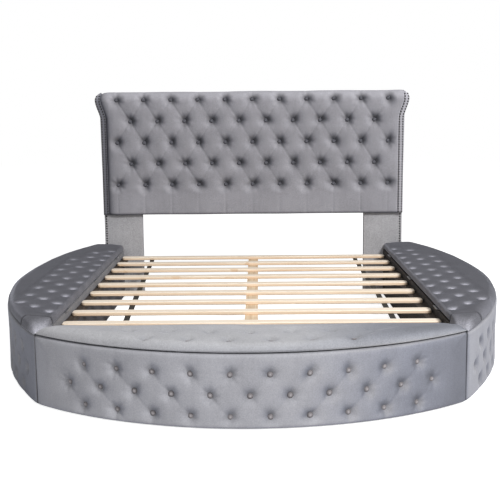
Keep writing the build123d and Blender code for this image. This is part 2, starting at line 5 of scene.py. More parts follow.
import bmesh
import bpy
import numpy as np
from mathutils import Euler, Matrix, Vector

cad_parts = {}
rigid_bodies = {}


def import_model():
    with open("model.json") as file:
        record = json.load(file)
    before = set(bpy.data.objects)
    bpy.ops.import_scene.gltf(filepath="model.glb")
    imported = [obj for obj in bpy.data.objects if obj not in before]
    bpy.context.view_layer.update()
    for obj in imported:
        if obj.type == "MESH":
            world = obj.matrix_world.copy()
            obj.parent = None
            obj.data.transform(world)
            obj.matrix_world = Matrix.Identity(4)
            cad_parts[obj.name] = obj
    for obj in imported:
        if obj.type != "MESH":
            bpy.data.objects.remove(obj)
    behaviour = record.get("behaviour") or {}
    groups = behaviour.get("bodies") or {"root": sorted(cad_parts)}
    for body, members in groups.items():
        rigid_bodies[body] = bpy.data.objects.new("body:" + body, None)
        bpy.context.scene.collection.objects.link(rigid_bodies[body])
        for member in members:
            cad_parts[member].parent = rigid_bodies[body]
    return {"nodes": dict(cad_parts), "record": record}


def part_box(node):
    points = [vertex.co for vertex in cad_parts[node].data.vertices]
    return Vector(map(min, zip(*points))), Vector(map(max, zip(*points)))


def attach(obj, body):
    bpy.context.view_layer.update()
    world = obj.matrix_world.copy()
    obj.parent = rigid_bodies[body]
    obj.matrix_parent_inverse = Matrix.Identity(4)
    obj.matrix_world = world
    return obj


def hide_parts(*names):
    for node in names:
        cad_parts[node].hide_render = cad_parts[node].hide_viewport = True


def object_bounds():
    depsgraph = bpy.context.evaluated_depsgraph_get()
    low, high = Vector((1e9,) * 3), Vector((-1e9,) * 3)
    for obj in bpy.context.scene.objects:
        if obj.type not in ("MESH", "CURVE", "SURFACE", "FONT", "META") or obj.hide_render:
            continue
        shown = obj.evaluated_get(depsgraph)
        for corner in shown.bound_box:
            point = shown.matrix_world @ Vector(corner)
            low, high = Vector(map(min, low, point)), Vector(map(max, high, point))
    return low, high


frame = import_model()
cad_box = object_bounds()
nodes = frame["nodes"]
scene = bpy.context.scene
scene.view_settings.view_transform = "Standard"

# The camera stands in front of the foot of the bed, a little above the headboard's middle and
# tilted down. Its place and lens were found by matching slat ends, seams and buttons.
camera_data = bpy.data.cameras.new("camera")
camera_data.sensor_width = 36
camera_data.lens = 67.75
camera = bpy.data.objects.new("camera", camera_data)
camera.location = (0.0349, -4.376, 1.0957)
camera_turn, camera_dip, camera_roll = 0.0098, 0.1475, -0.0097
aim = Euler((pi / 2 - camera_dip, 0, camera_turn)).to_matrix() @ Euler((0, 0, camera_roll)).to_matrix()
camera.rotation_euler = aim.to_euler()
scene.collection.objects.link(camera)
scene.camera = camera


# The room is a pale studio: a floor that shows white and keeps a soft shadow, a broad light from
# the front right, a weak one from the left and an even surround.
def new_material(name):
    """A material with its node tree and its Principled shader."""
    material = bpy.data.materials.new(name)
    material.use_nodes = True
    tree = material.node_tree
    return material, tree, tree.nodes["Principled BSDF"]


def set_inputs(tree, node, values):
    """Sets a node's inputs, by name or number, to values or to other nodes' outputs."""
    for key, value in values.items():
        if isinstance(value, bpy.types.NodeSocket):
            tree.links.new(value, node.inputs[key])
        else:
            node.inputs[key].default_value = value


def add_node(tree, kind, *inputs, **settings):
    """A node with its settings. Its inputs are given in their order, or by name under values."""
    values = settings.pop("values", {})
    node = tree.nodes.new(kind)
    for key, value in settings.items():
        setattr(node, key, value)
    set_inputs(tree, node, {**dict(enumerate(inputs)), **values})
    return node


def shown_to_camera(tree, shown, lighting):
    """One shader for the camera to see, and another for all other light."""
    ray = add_node(tree, "ShaderNodeLightPath").outputs["Is Camera Ray"]
    return add_node(tree, "ShaderNodeMixShader", ray, lighting, shown).outputs[0]


floor_size = 30
floor_glow = 0.8
surround_strength = 0.25
white = (1, 1, 1, 1)
floor_material, tree, shader = new_material("studio_floor")
set_inputs(tree, shader, {"Base Color": (0.82, 0.82, 0.83, 1), "Roughness": 0.9})
glow = add_node(tree, "ShaderNodeEmission", values={"Strength": floor_glow})
both = add_node(tree, "ShaderNodeAddShader", glow.outputs[0], shader.outputs[0])
seen = shown_to_camera(tree, both.outputs[0], shader.outputs[0])
set_inputs(tree, tree.nodes["Material Output"], {"Surface": seen})
bpy.ops.mesh.primitive_plane_add(size=floor_size)
floor = bpy.context.object
floor.name = "studio_floor"
floor.data.materials.append(floor_material)

surround = bpy.data.worlds.new("surround")
surround.use_nodes = True
tree = surround.node_tree
lighting = tree.nodes["Background"]
set_inputs(tree, lighting, {"Color": white, "Strength": surround_strength})
shown = add_node(tree, "ShaderNodeBackground", values={"Color": white, "Strength": 1})
seen = shown_to_camera(tree, shown.outputs[0], lighting.outputs[0])
set_inputs(tree, tree.nodes["World Output"], {"Surface": seen})
scene.world = surround


def soft_light(name, place, target, size, power):
    """A square studio light aimed at a point."""
    data = bpy.data.lights.new(name, "AREA")
    data.size = size
    data.energy = power
    light = bpy.data.objects.new(name, data)
    light.location = place
    light.rotation_euler = (Vector(target) - Vector(place)).to_track_quat("-Z", "Y").to_euler()
    scene.collection.objects.link(light)


soft_light("key_light", (3.0, -3.85, 4.2), (0, 0, 0.5), 1.0, 345)
soft_light("top_light", (0.2, -0.4, 4.6), (0, -0.2, 0.3), 2.4, 20)
soft_light("left_light", (-2.2, -5.2, 2.2), (0, 0, 0.4), 1.8, 60)


# Velvet covers everything but the slats. Its pile is short and stands at a slant, so that it
# shows fine grain and brushed patches. It is darker where a button or a pleat crushes it, partly as
# painted shade, and painted light and shade follow how each point faces along its pile.
def new_group(name, inputs, outputs):
    """An empty shader node group, what it is given, and the node that takes its results."""
    group = bpy.data.node_groups.new(name, "ShaderNodeTree")
    for side, sockets in (("INPUT", inputs), ("OUTPUT", outputs)):
        for label, kind in sockets.items():
            group.interface.new_socket(label, in_out=side, socket_type=f"NodeSocket{kind}")
    return group, group.nodes.new("NodeGroupInput").outputs, group.nodes.new("NodeGroupOutput")


def object_place(tree):
    """Where each point lies in the object."""
    return add_node(tree, "ShaderNodeTexCoord").outputs["Object"]


def noise(tree, place, scale, detail, roughness=0.5, distortion=0.0):
    """A cloudy pattern over the surface, from 0 to 1."""
    return add_node(tree, "ShaderNodeTexNoise", values={
        "Vector": place, "Scale": scale, "Detail": detail, "Roughness": roughness,
        "Distortion": distortion}).outputs["Fac"]


def maths(tree, operation, *numbers):
    """The result of one sum on numbers or other nodes' outputs."""
    return add_node(tree, "ShaderNodeMath", *numbers, operation=operation).outputs[0]


def rescaled(tree, value, low, high, new_low=0, new_high=1):
    """A value moved from one range to another and kept inside it."""
    return add_node(tree, "ShaderNodeMapRange", value, low, high, new_low, new_high).outputs[0]


def mixed(tree, share, first, second, blend="MIX"):
    """Two colours mixed, or one laid over the other."""
    return add_node(tree, "ShaderNodeMix", data_type="RGBA", blend_type=blend,
                    values={0: share, 6: first, 7: second}).outputs[2]


def velvet_group():
    """Node group for velvet: colour, with painted light and shade, and pile height from the cloth's own
    colour.
    """
    group, given, result = new_group(
        "velvet_nap_and_shade",
        {"Colour": "Color", "Brushing": "Float", "CrushAndShade": "Float", "PaintedNapLight": "Float", "Mottle": "Float"},
        {"Colour": "Color", "Pile": "Float"})
    streak_share, marks_middle, darkest_painted_shade = 0.4, 0.7, 0.38
    away_from_light, cool_shade_tint = -0.6, (0.95, 0.985, 1.07, 1)
    place = object_place(group)
    pile = noise(group, place, 230, 5, 0.7)
    patches = noise(group, place, 7, 4, 0.6)
    long_place = add_node(group, "ShaderNodeMapping", values={"Vector": place, "Scale": (60, 60, 9)})
    streaks = noise(group, long_place.outputs[0], 1, 3)
    marks = maths(group, "MULTIPLY_ADD", streaks, streak_share, patches)
    centred = maths(group, "SUBTRACT", marks, marks_middle)
    brushed = maths(group, "MULTIPLY_ADD", centred, given["Brushing"], 1)
    # The pinch darkens the velvet where a button or pleat pulls it in, partly as crushed pile and partly as
    # painted shade in the pits. A negative crush paints highlights there instead.
    pinch_and_shade = add_node(group, "ShaderNodeAttribute", attribute_name="pinch_and_shade").outputs["Fac"]
    left_unshaded = maths(group, "SUBTRACT", 1, maths(group, "MULTIPLY", pinch_and_shade, given["CrushAndShade"]))
    # This attribute is painted light and shade: lighter where the surface faces along its pile, darker and
    # cooler where it faces away.
    painted_nap_light = add_node(group, "ShaderNodeAttribute", attribute_name="painted_nap_light").outputs["Fac"]
    turned = maths(group, "MULTIPLY_ADD", painted_nap_light, given["PaintedNapLight"], 1)
    lit = maths(group, "MULTIPLY", maths(group, "MULTIPLY", brushed, left_unshaded),
                maths(group, "MAXIMUM", turned, darkest_painted_shade))
    grain = rescaled(group, pile, 0.3, 0.7, -1, 1)
    mottled = maths(group, "MULTIPLY_ADD", grain, given["Mottle"], 1)
    cool_shade = mixed(group, rescaled(group, painted_nap_light, 0, away_from_light), given["Colour"], cool_shade_tint, "MULTIPLY")
    tint = add_node(group, "ShaderNodeVectorMath", operation="SCALE",
                    values={0: cool_shade, "Scale": maths(group, "MULTIPLY", lit, mottled)})
    set_inputs(group, result, {"Colour": tint.outputs[0], "Pile": pile})
    return group


velvet_nap_and_shade = velvet_group()


def velvet(name, colour, crush_and_shade=0.45, brushing=0.35, painted_nap_light=0.6, mottle=0.2):
    """Velvet of one shade for one group of pieces. Some groups are darker copies of the same cloth, as
    painted shade.
    """
    material, tree, shader = new_material(name)
    cloth = add_node(tree, "ShaderNodeGroup", node_tree=velvet_nap_and_shade, values={
        "Colour": (*colour, 1), "Brushing": brushing, "CrushAndShade": crush_and_shade, "PaintedNapLight": painted_nap_light, "Mottle": mottle})
    bump = add_node(tree, "ShaderNodeBump", values={
        "Strength": 0.25, "Distance": 0.0006, "Height": cloth.outputs["Pile"]})
    set_inputs(tree, shader, {
        "Base Color": cloth.outputs["Colour"], "Normal": bump.outputs[0], "Roughness": 0.78,
        "Specular IOR Level": 0.25, "Sheen Weight": 0.28, "Sheen Roughness": 0.35,
        "Sheen Tint": (0.85, 0.87, 1, 1)})
    return material


# The plan of the bed. The foot bench is a segment of one circle and each side bench of another,
# and they meet along slanted joints at the front corners of the mattress well.
half_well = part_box("right_bench_inner_panel")[0].x
join_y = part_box("foot_bench_inner_panel")[1].y
head_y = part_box("right_bench_inner_panel")[1].y
foot_reach = join_y - cad_box[0].y
corner_setback = 0.05
corner_reach = 0.036
head_end_reach = 0.174
side_bulge = 0.259
corner_x = half_well + corner_reach
corner_y = join_y - corner_setback
head_end_x = half_well + head_end_reach
box_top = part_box("right_bench_inner_panel")[1].z
lid_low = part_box("right_lid_pad")[0].z
seam_half = 0.0015


def bulging_circle(start, end, rise):
    """Centre and radius of the circle through two plan points, rising to the right of their chord."""
    run_x, run_y = end[0] - start[0], end[1] - start[1]
    chord = hypot(run_x, run_y)
    radius = chord ** 2 / (8 * rise) + rise / 2
    drop = (rise - radius) / chord
    return ((start[0] + end[0]) / 2 + run_y * drop, (start[1] + end[1]) / 2 - run_x * drop, radius)


foot_circle = bulging_circle((-corner_x, corner_y), (corner_x, corner_y), foot_reach - corner_setback)
side_circle = bulging_circle((corner_x, corner_y), (head_end_x, head_y), side_bulge)
mitre_slope = corner_setback / (corner_x - half_well)


def mitre_y(x):
    """Where the joint between foot bench and side bench lies at a place across the bed."""
    return join_y - mitre_slope * (x - half_well)


# Buttons pull the cover down to the board through foam. The cover then stands in diamonds between
# them, with pleats from button to button and small puckers round each one.
button_span = 0.024
seat_radius = 0.008
pucker_depth = 0.0007
pucker_ring, pucker_width = 0.55, 0.35
dish_share, dish_width = 0.16, 1.9
row_slack = 0.02
pleat_across, pleat_least_rise, pleat_most_rise = 0.75, 0.5, 1.6
edge_fold, edge_width, edge_lip = 0.45, 0.6, 0.004
lean_limits = (-0.95, 0.75)


def button_places(node):
    """Middle of each separate button of a node."""
    points = np.array([v.co for v in nodes[node].data.vertices])
    places = []
    while len(points):
        near = np.linalg.norm(points - points[0], axis=1) < button_span
        cluster = points[near]
        places.append((cluster.min(0) + cluster.max(0)) / 2)
        points = points[~near]
    return np.array(places)


def edge_pleats(buttons, high, low):
    """The pleats that run from the highest and the lowest buttons straight to the cover's edges."""
    top, bottom = buttons[:, 1].max(), buttons[:, 1].min()
    return ([(b, (b[0], high)) for b in buttons if top - b[1] < row_slack]
            + [(b, (b[0], low)) for b in buttons if b[1] - bottom < row_slack])


def pleat(depth, along, up, start, end, fold, width, lip):
    """Adds one pleat between two points: a crease that is deepest at its ends, with a folded lip."""
    overrun, lip_share = 0.05, 0.2
    run = np.array(end) - np.array(start)
    length = np.hypot(*run)
    run = run / length
    away = (along - start[0], up - start[1])
    t = (away[0] * run[0] + away[1] * run[1]) / length
    s = away[1] * run[0] - away[0] * run[1]
    inside = (t > -overrun) & (t < 1 + overrun) & (np.abs(s) < 5 * width)
    t, s = t[inside], s[inside]
    fade = np.clip((t + overrun) / (2 * overrun), 0, 1) * np.clip((1 + overrun - t) / (2 * overrun), 0, 1)
    body = 0.4 + 0.6 * np.abs(2 * t - 1) ** 2
    crease = np.exp(-np.abs(s) / width)
    roll = np.exp(-((s - lip) / (0.6 * width)) ** 2)
    depth[inside] += fade * body * (fold * crease - lip_share * fold * roll)


def tufting(along, up, buttons, deep, seed, edges=(), fold=0.005, reach=0.042, pleat_width=0.009):
    """Depth of a buttoned cover below its full swell, at each point of a surface."""
    random = np.random.default_rng(seed)
    along, up = np.asarray(along, float), np.asarray(up, float)
    depth = np.zeros_like(along)
    pucker = np.zeros_like(along)
    rows = np.unique(np.round(buttons[:, 1], 2))
    row_gap = np.diff(rows).min() if len(rows) > 1 else 1
    first_row = buttons[np.abs(buttons[:, 1] - rows[0]) < row_gap / 2]
    pitch = np.diff(np.sort(first_row[:, 0])).min()
    for place in buttons:
        lean, stretch = random.uniform(0, pi), random.uniform(0, 0.18)
        away = np.hypot(along - place[0], up - place[1])
        turn = np.arctan2(up - place[1], along - place[0])
        d = away * (1 + stretch * np.cos(2 * (turn - lean)))
        lobes = random.integers(5, 9)
        star = np.cos(lobes * turn + random.uniform(0, 2 * pi)) * random.uniform(0.4, 1)
        pit = np.clip(1 - np.maximum(d - seat_radius, 0) / reach, 0, 1) ** 2
        depth = np.maximum(depth, deep * pit)
        ring = (away - pucker_ring * reach - seat_radius) / (pucker_width * reach)
        pucker += pucker_depth * star * np.exp(-ring ** 2)
        pucker += dish_share * deep * np.exp(-(away / (dish_width * reach)) ** 2)
    for i, a in enumerate(buttons):
        for b in buttons[i + 1:]:
            across, rise = abs(a[0] - b[0]), abs(a[1] - b[1])
            between_rows = pleat_least_rise * row_gap < rise < pleat_most_rise * row_gap
            if across < pleat_across * pitch and between_rows:
                strength = fold * random.uniform(0.45, 1)
                lip = pleat_width * 0.7 * random.choice((-1, 1))
                pleat(depth, along, up, a[:2], b[:2], strength, pleat_width, lip)
    for start, end in edges:
        strength = edge_fold * fold * random.uniform(0.5, 1)
        pleat(depth, along, up, start, end, strength, edge_width * pleat_width, edge_lip)
    return depth + pucker


def wander(a, b, seed, size):
    """Slow unevenness of stuffed foam over a surface."""
    random = np.random.default_rng(seed)
    total = np.zeros_like(np.asarray(a, float))
    for _ in range(6):
        wave = random.uniform(4, 14, 2) * random.choice((-1, 1), 2)
        total += np.sin(wave[0] * a + wave[1] * b + random.uniform(0, 2 * pi))
    return size * total / 3


def paint_nap_light(mesh):
    """Paints light and shade into the cloth: how far each point faces along its pile, a set direction. The
    velvet is painted lighter where it faces that way and darker where it faces away.
    """
    count = len(mesh.vertices)
    pile, normal = np.zeros(3 * count), np.zeros(3 * count)
    mesh.attributes["pile"].data.foreach_get("vector", pile)
    mesh.vertices.foreach_get("normal", normal)
    lean = (pile * normal).reshape(-1, 3).sum(1)
    painted_nap_light = mesh.attributes.get("painted_nap_light") or mesh.attributes.new("painted_nap_light", "FLOAT", "POINT")
    painted_nap_light.data.foreach_set("value", np.clip(lean, *lean_limits))


def sewn(pinch_and_shade):
    """How firmly the twine holds a cover, from how deeply it is pinched."""
    return np.clip((pinch_and_shade - 0.3) / 0.4, 0, 1)


# Covers that foam pushes out once all of them are in place
covers = []


def make_piece(name, points, faces, material, pinch_and_shade=None, pile=None, held=None):
    """A closed mesh piece with its faces pointing outwards. Foam can push it where it isn't held."""
    mesh = bpy.data.meshes.new(name)
    mesh.from_pydata(np.asarray(points, float).reshape(-1, 3).tolist(), [], faces)
    if pinch_and_shade is not None:
        mesh.attributes.new("pinch_and_shade", "FLOAT", "POINT").data.foreach_set("value", np.ravel(pinch_and_shade))
    if pile is not None:
        pile = np.broadcast_to(pile, np.shape(points)).ravel()
        mesh.attributes.new("pile", "FLOAT_VECTOR", "POINT").data.foreach_set("vector", pile)
    if held is not None:
        mesh.attributes.new("held", "FLOAT", "POINT").data.foreach_set("value", np.ravel(held))
    shape = bmesh.new()
    shape.from_mesh(mesh)
    bmesh.ops.remove_doubles(shape, verts=shape.verts, dist=0.00002)
    bmesh.ops.recalc_face_normals(shape, faces=shape.faces)
    shape.to_mesh(mesh)
    shape.free()
    if pile is not None:
        paint_nap_light(mesh)
    mesh.shade_smooth()
    mesh.materials.append(material)
    piece = bpy.data.objects.new(name, mesh)
    scene.collection.objects.link(piece)
    if held is not None:
        covers.append(piece)
    return piece


def loop_faces(rings, sides):
    """Faces of a closed profile run through many rings, with both ends closed."""
    i, j = np.meshgrid(np.arange(rings - 1), np.arange(sides), indexing="ij")
    k = (j + 1) % sides
    quads = np.stack([i * sides + j, (i + 1) * sides + j, (i + 1) * sides + k, i * sides + k], -1)
    last = (rings - 1) * sides
    return quads.reshape(-1, 4).tolist() + [list(range(sides)), list(range(last, last + sides))]


def sheet_faces(rows, columns):
    """Faces of an open grid of points."""
    i, j = np.meshgrid(np.arange(rows - 1), np.arange(columns - 1), indexing="ij")
    corner = i * columns + j
    quads = np.stack([corner, corner + columns, corner + columns + 1, corner + 1], -1)
    return quads.reshape(-1, 4).tolist()


def fitted(piece, body, slot, *solids):
    """Fixes a piece to a body, in place of the plain solids that it covers. Its slot is not used."""
    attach(piece, body)
    for node in solids:
        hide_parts(node)


def fitted_pad(piece, body, node):
    """Fixes a padded piece to a body, in velvet, in place of its plain solid."""
    fitted(piece, body, "velvet", node)


# Each bench's curved wall has a foam pad under buttoned velvet, stapled under the wall's lower edge
# and over its top edge. Three rows of buttons stand in diamonds.
wall_velvet = velvet("wall_velvet", (0.32, 0.32, 0.345), crush_and_shade=0.3, painted_nap_light=0.55, mottle=0.14)
pad_depth = 0.028
pad_step = 0.0045
wall_swell = 0.004
wall_relief = 0.95
wall_button_depth = 0.014
wall_full_pinch = 0.013
end_roll, end_reach, end_hold = 0.007, 0.008, 0.006
rim_band, rim_fade = 0.03, 0.0025
painted_light_side, painted_light_up = 0.85, 0.5
rim_shade = 2.6
end_gap = 0.0001
skirt_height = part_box("right_bench_wall_pad")[0].z


def wall_profile():
    """Places round a wall pad's section, as (outward, up) from the outline, and how far each swells."""
    rim, low, high = 0.011, skirt_height, box_top
    turn = np.linspace(0, pi / 2, 7)
    rise = np.linspace(low + rim, high - rim, int((high - low) / pad_step))[1:-1]
    out = [*(-rim + rim * np.sin(turn)), *(0 * rise), *(-rim + rim * np.cos(turn))]
    up = [*(low + rim - rim * np.cos(turn)), *rise, *(high - rim + rim * np.sin(turn))]
    give = [*np.sin(turn), *(1 + 0 * rise), *np.cos(turn)]
    back = np.linspace(high, low, 6)
    out += [-pad_depth / 2, *(-pad_depth + 0 * back), -pad_depth / 2]
    up += [high, *back, low]
    give += [0] * (len(back) + 2)
    return np.array(out), np.array(up), np.array(give)


def mitre_angle(circle, radius):
    """Direction from a bench's centre to where its outline at some radius meets the corner joint."""
    along = np.array([1, -mitre_slope]) / hypot(1, mitre_slope)
    start = np.array([half_well - circle[0], join_y - circle[1]])
    b = start @ along
    reach = -b + np.sqrt(b * b - start @ start + radius ** 2)
    return np.arctan2(start[1] + reach * along[1], start[0] + reach * along[0])


def wall_pad(name, node, button_node, circle, ends, side, seed, sideways, painted_darkening):
    """The buttoned pad of one bench wall, between two functions that give its end directions.

    The last two values give, for both ends, how the pile leans along the wall, which sets the side
    that the painted light comes from, and how much darker that end is painted.
    """
    out, up, give = wall_profile()
    radius = circle[2] + out
    start, end = ends(radius)
    rings = int(circle[2] * abs(end[0] - start[0]) / pad_step)
    share = np.linspace(0, 1, rings)[:, None]
    angle = start + (end - start) * share
    middle = angle.mean(1, keepdims=True)
    places = button_places(button_node) * (side, 1, 1)
    button_angle = np.arctan2(places[:, 1] - circle[1], places[:, 0] - circle[0])
    buttons = np.stack([button_angle * circle[2], places[:, 2]], -1)
    heights = np.broadcast_to(up, angle.shape)
    along = angle * circle[2]
    depth = wall_relief * tufting(along, heights, buttons, wall_button_depth, seed,
                                  edge_pleats(buttons, box_top, skirt_height),
                                  fold=0.004, reach=0.036, pleat_width=0.007)
    from_end = np.minimum(share, 1 - share) * rings * pad_step
    depth = depth + end_roll * np.exp(-from_end / end_reach)
    swell = wall_swell + wander(along, heights, seed, size=0.0015) - depth
    spread = radius + give * swell
    points = np.stack([side * (circle[0] + spread * np.cos(angle)), circle[1] + spread * np.sin(angle),
                       heights], -1)
    pinch_and_shade = np.clip(give * depth / wall_full_pinch, 0, 1)
    # The wall's top, under the lid's edge, is painted dark as the shadow in the gap.
    pinch_and_shade = pinch_and_shade + rim_shade * (1 - give) * (up > box_top - rim_band)
    painted_end_darkening = np.interp(share, (0, 0.35, 0.6, 1), (painted_darkening[0], 0, 0, painted_darkening[1]))
    lean = np.interp(share, (0.3, 0.6), sideways)
    pile = np.concatenate([-lean * np.sin(middle) - painted_end_darkening * side * np.cos(middle),
                           side * lean * np.cos(middle) - painted_end_darkening * np.sin(middle),
                           painted_light_up + 0 * share], -1)
    held = sewn(pinch_and_shade) + (1 - give) + np.exp(-from_end / end_hold)
    # The wall's ends are painted dark as the shadow in the seams beside them.
    pinch_and_shade = pinch_and_shade + rim_shade * np.exp(-from_end / rim_fade)
    piece = make_piece(name, points, loop_faces(rings, len(out)), wall_velvet, pinch_and_shade,
                       pile[:, None, :], held if circle is foot_circle else None)
    fitted_pad(piece, "frame", node)


def foot_ends(radius):
    """Directions in which the foot bench's wall pad ends."""
    corner = mitre_angle(foot_circle, radius)
    return -pi - corner + 2 * end_gap, corner - 2 * end_gap


def side_ends(radius):
    """Directions in which the right bench's wall pad ends."""
    return mitre_angle(side_circle, radius) + end_gap, np.arcsin((head_y - side_circle[1]) / radius)


# The painted light on the foot wall's pits falls from the right on its left part and from the left on its
# right part. The foot wall's right end and the whole left wall are painted darker.
wall_pad("foot_wall_velvet_pad", "foot_bench_wall_pad", "foot_bench_wall_buttons", foot_circle,
         foot_ends, 1, 11, (painted_light_side, -1.1 * painted_light_side), (0.05, 1))
wall_pad("right_wall_velvet_pad", "right_bench_wall_pad", "right_bench_wall_buttons", side_circle,
         side_ends, 1, 12, (painted_light_side, painted_light_side), (0.12, 0))
wall_pad("left_wall_velvet_pad", "left_bench_wall_pad", "left_bench_wall_buttons", side_circle,
         side_ends, -1, 13, (painted_light_side, painted_light_side), (0.8, 0.5))


# A lid is a plywood board under thick foam, buttoned in rows and crowned. Its velvet rolls over the
# curved edge and is stapled under the board, which shows when the lid is open.
# The side lids' velvet is a darker copy of the foot lid's cloth, as painted shade. Its negative crush
# paints highlights into the button pits.
side_lid_velvet = velvet("side_lid_velvet", (0.068, 0.068, 0.077), crush_and_shade=-1.2, brushing=0.5, painted_nap_light=3,
                         mottle=0.3)
foot_lid_velvet = velvet("foot_lid_velvet", (0.385, 0.385, 0.4), crush_and_shade=0.15, painted_nap_light=0.8)
lid_step = 0.0055
lid_rim = 0.014
board_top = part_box("right_lid_board")[1].z
edge_height = 0.026
crown_height = 0.036
lid_swell = 0.004
lid_edge_round = 0.022
lid_side_round = 0.011
lid_end_round = 0.005
lid_foot = 0.006
lid_gap = 0.001
lid_button_depth = 0.0135
side_lid_full_pinch, foot_lid_full_pinch = 0.012, 0.011
lid_pile = (0, -0.98, 0)
lid_lean = 0.3


def eased(distance, reach):
    """Height share of a rounded edge, from 0 at the edge to 1 beyond its reach."""
    return np.sqrt(np.clip(1 - (1 - np.clip(distance / reach, 0, 1)) ** 2, 0, 1))


def curved_edge(circle, x, y):
    """Height share of the rounded edge along a bench's curve."""
    return eased(circle[2] - np.hypot(x - circle[0], y - circle[1]), lid_edge_round)


def clustered(count, bunch):
    """Shares from 0 to 1 that lie closer together near both ends."""
    t = np.linspace(0, 1, count)
    return t + bunch * (np.sin(2 * pi * t) / (-2 * pi))


def softer_of(a, b, blend=0.004):
    """The lower of two heights, with the edge where they cross rounded over."""
    return -blend * np.log(np.exp(-a / blend) + np.exp(-b / blend))


def rolled(ring):
    """A ring of points that starts one place further on."""
    return ring[1:] + ring[:1]


def lid_mesh(name, plan, layers_below, height, material, pinch_and_shade, side=1, pile=lambda points: lid_pile):
    """A padded top and what is under its edge, one outline after another."""
    rows, columns = plan.shape[:2]
    top = np.concatenate([plan, height[..., None]], -1)
    grid = np.arange(rows * columns).reshape(rows, columns)
    rim = np.concatenate([grid[0], grid[1:, -1], grid[-1, -2::-1], grid[-2:0:-1, 0]]).tolist()
    points, faces = [top.reshape(-1, 3)], sheet_faces(rows, columns)
    before, start = rim, rows * columns
    for outline, level in layers_below(plan.reshape(-1, 2)[rim]):
        points.append(np.column_stack([outline, level + 0 * outline[:, 0]]))
        here = list(range(start, start + len(rim)))
        faces += [list(quad) for quad in zip(before, rolled(before), rolled(here), here)]
        before, start = here, start + len(rim)
    faces.append(before)
    points = np.concatenate(points) * (side, 1, 1)
    below = len(points) - pinch_and_shade.size
    shade = np.concatenate([pinch_and_shade.ravel(), np.zeros(below)])
    at_rim = height.ravel() < lid_low + 2 * lid_foot
    held = np.concatenate([sewn(pinch_and_shade.ravel()) + at_rim, np.ones(below)])
    return make_piece(name, points, faces, material, shade, pile(points), held)


def pocket_layers(limits, lift=lambda edge: 0):
    """The underside of a lid's pad: its rim, then the pocket that holds the board."""
    def layers(edge):
        inner = limits(edge, lid_rim)
        return [(edge, lid_low + 0.005 + lift(edge)), (limits(edge, 0.003), lid_low + 0.0015),
                (limits(edge, 0.008), lid_low), (inner, lid_low), (inner, board_top)]
    return layers


def side_arch(x):
    """How far a side lid's top stands above its underside, at a place across the bed."""
    return crown_height - (crown_height - edge_height) * ((x - side_middle_x) / side_half_span) ** 2


def side_outline_x(y, inset=0):
    """The right bench's outline across the bed at a place along it."""
    return side_circle[0] + np.sqrt((side_circle[2] - inset) ** 2 - (y - side_circle[1]) ** 2)


side_lid_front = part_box("right_lid_pad")[0].y
side_lid_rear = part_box("right_lid_pad")[1].y
side_lid_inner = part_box("right_lid_pad")[0].x
side_middle_x = (half_well + side_circle[0] + side_circle[2]) / 2
side_half_span = side_middle_x - half_well


def side_lid(name, side, seed):
    """One side lid's pad, with three rows of buttons."""
    word = "right" if side > 0 else "left"
    rows = int((side_lid_rear - side_lid_front) / lid_step)
    columns = 76
    y = side_lid_front + (side_lid_rear - side_lid_front) * clustered(rows, bunch=0.6)
    share = clustered(columns, bunch=0.75)
    outer = side_outline_x(y)
    x = side_lid_inner + (outer - side_lid_inner)[:, None] * share
    y = np.broadcast_to(y[:, None], x.shape)
    plan = np.stack([x, y], -1)
    outer_edge = curved_edge(side_circle, x, y)
    inner_edge = eased(x - side_lid_inner, lid_side_round)
    ends = eased(y - side_lid_front, lid_end_round) * eased(side_lid_rear - y, lid_side_round)
    places = button_places(f"{word}_lid_buttons") * (side, 1, 1)
    depth = tufting(y, x, places[:, [1, 0]], lid_button_depth, seed,
                    fold=0.0018, reach=0.027, pleat_width=0.008)
    swell = side_arch(x) + lid_swell + wander(x, y, seed, size=0.0012) - depth
    height = lid_low + lid_foot + (swell - 0.005) * outer_edge * inner_edge * ends

    def limits(edge, inset):
        """The outline moved in by a distance."""
        ny = np.clip(edge[:, 1], side_lid_front + inset, side_lid_rear - inset)
        nx = np.clip(edge[:, 0], side_lid_inner + inset, side_outline_x(ny, inset))
        return np.column_stack([nx, ny])

    def pile(points):
        """The direction of the painted light: the pile leans to the foot, and to the well on the lid's
        inner face, and not at all near the front end, so that the edge there isn't painted light.
        """
        kept = np.clip((points[:, 1:2] - side_lid_front) / 0.014 - 0.2, 0, 1)
        inner = side * points[:, 0:1] < side_lid_inner + lid_side_round
        return kept * np.where(inner, (-side * lid_lean, *lid_pile[1:]), lid_pile)

    piece = lid_mesh(name, plan, pocket_layers(limits), height, side_lid_velvet,
                     np.clip(depth / side_lid_full_pinch, 0, 1), side, pile)
    fitted_pad(piece, f"{word}_lid", f"{word}_lid_pad")


side_lid("right_lid_velvet_pad", 1, 21)
side_lid("left_lid_velvet_pad", -1, 22)

foot_lid_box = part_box("foot_lid_pad")
foot_lid_heights = (0.024, 0.036, 0.033, 0.014)
foot_lid_curve = np.polyfit(np.linspace(0, 1, 4), foot_lid_heights, 3)
hem_pleat_reach = 0.1
hinge_round = 0.014
least_span = 0.0005
lift_height, lift_middle, lift_width = 0.004, 0.16, 0.4


def foot_inner_y(x, inset=0):
    """Rear outline of the foot lid: the hinge line, then the slanted corner joints."""
    slant = mitre_y(np.abs(x)) - (seam_half + inset) * hypot(1, mitre_slope)
    return np.minimum(join_y - seam_half - inset, slant)


def foot_outline_y(x, inset=0):
    """Front outline of the foot lid."""
    return foot_circle[1] - np.sqrt((foot_circle[2] - inset) ** 2 - (x - foot_circle[0]) ** 2)


def lid_lift(outline):
    """How far the foot lid's cloth pulls up at its front edge, most a little right of the middle."""
    lift = lift_height * np.exp(-((outline[:, 0] - lift_middle) / lift_width) ** 2)
    return lift * (outline[:, 1] < join_y - 0.05)


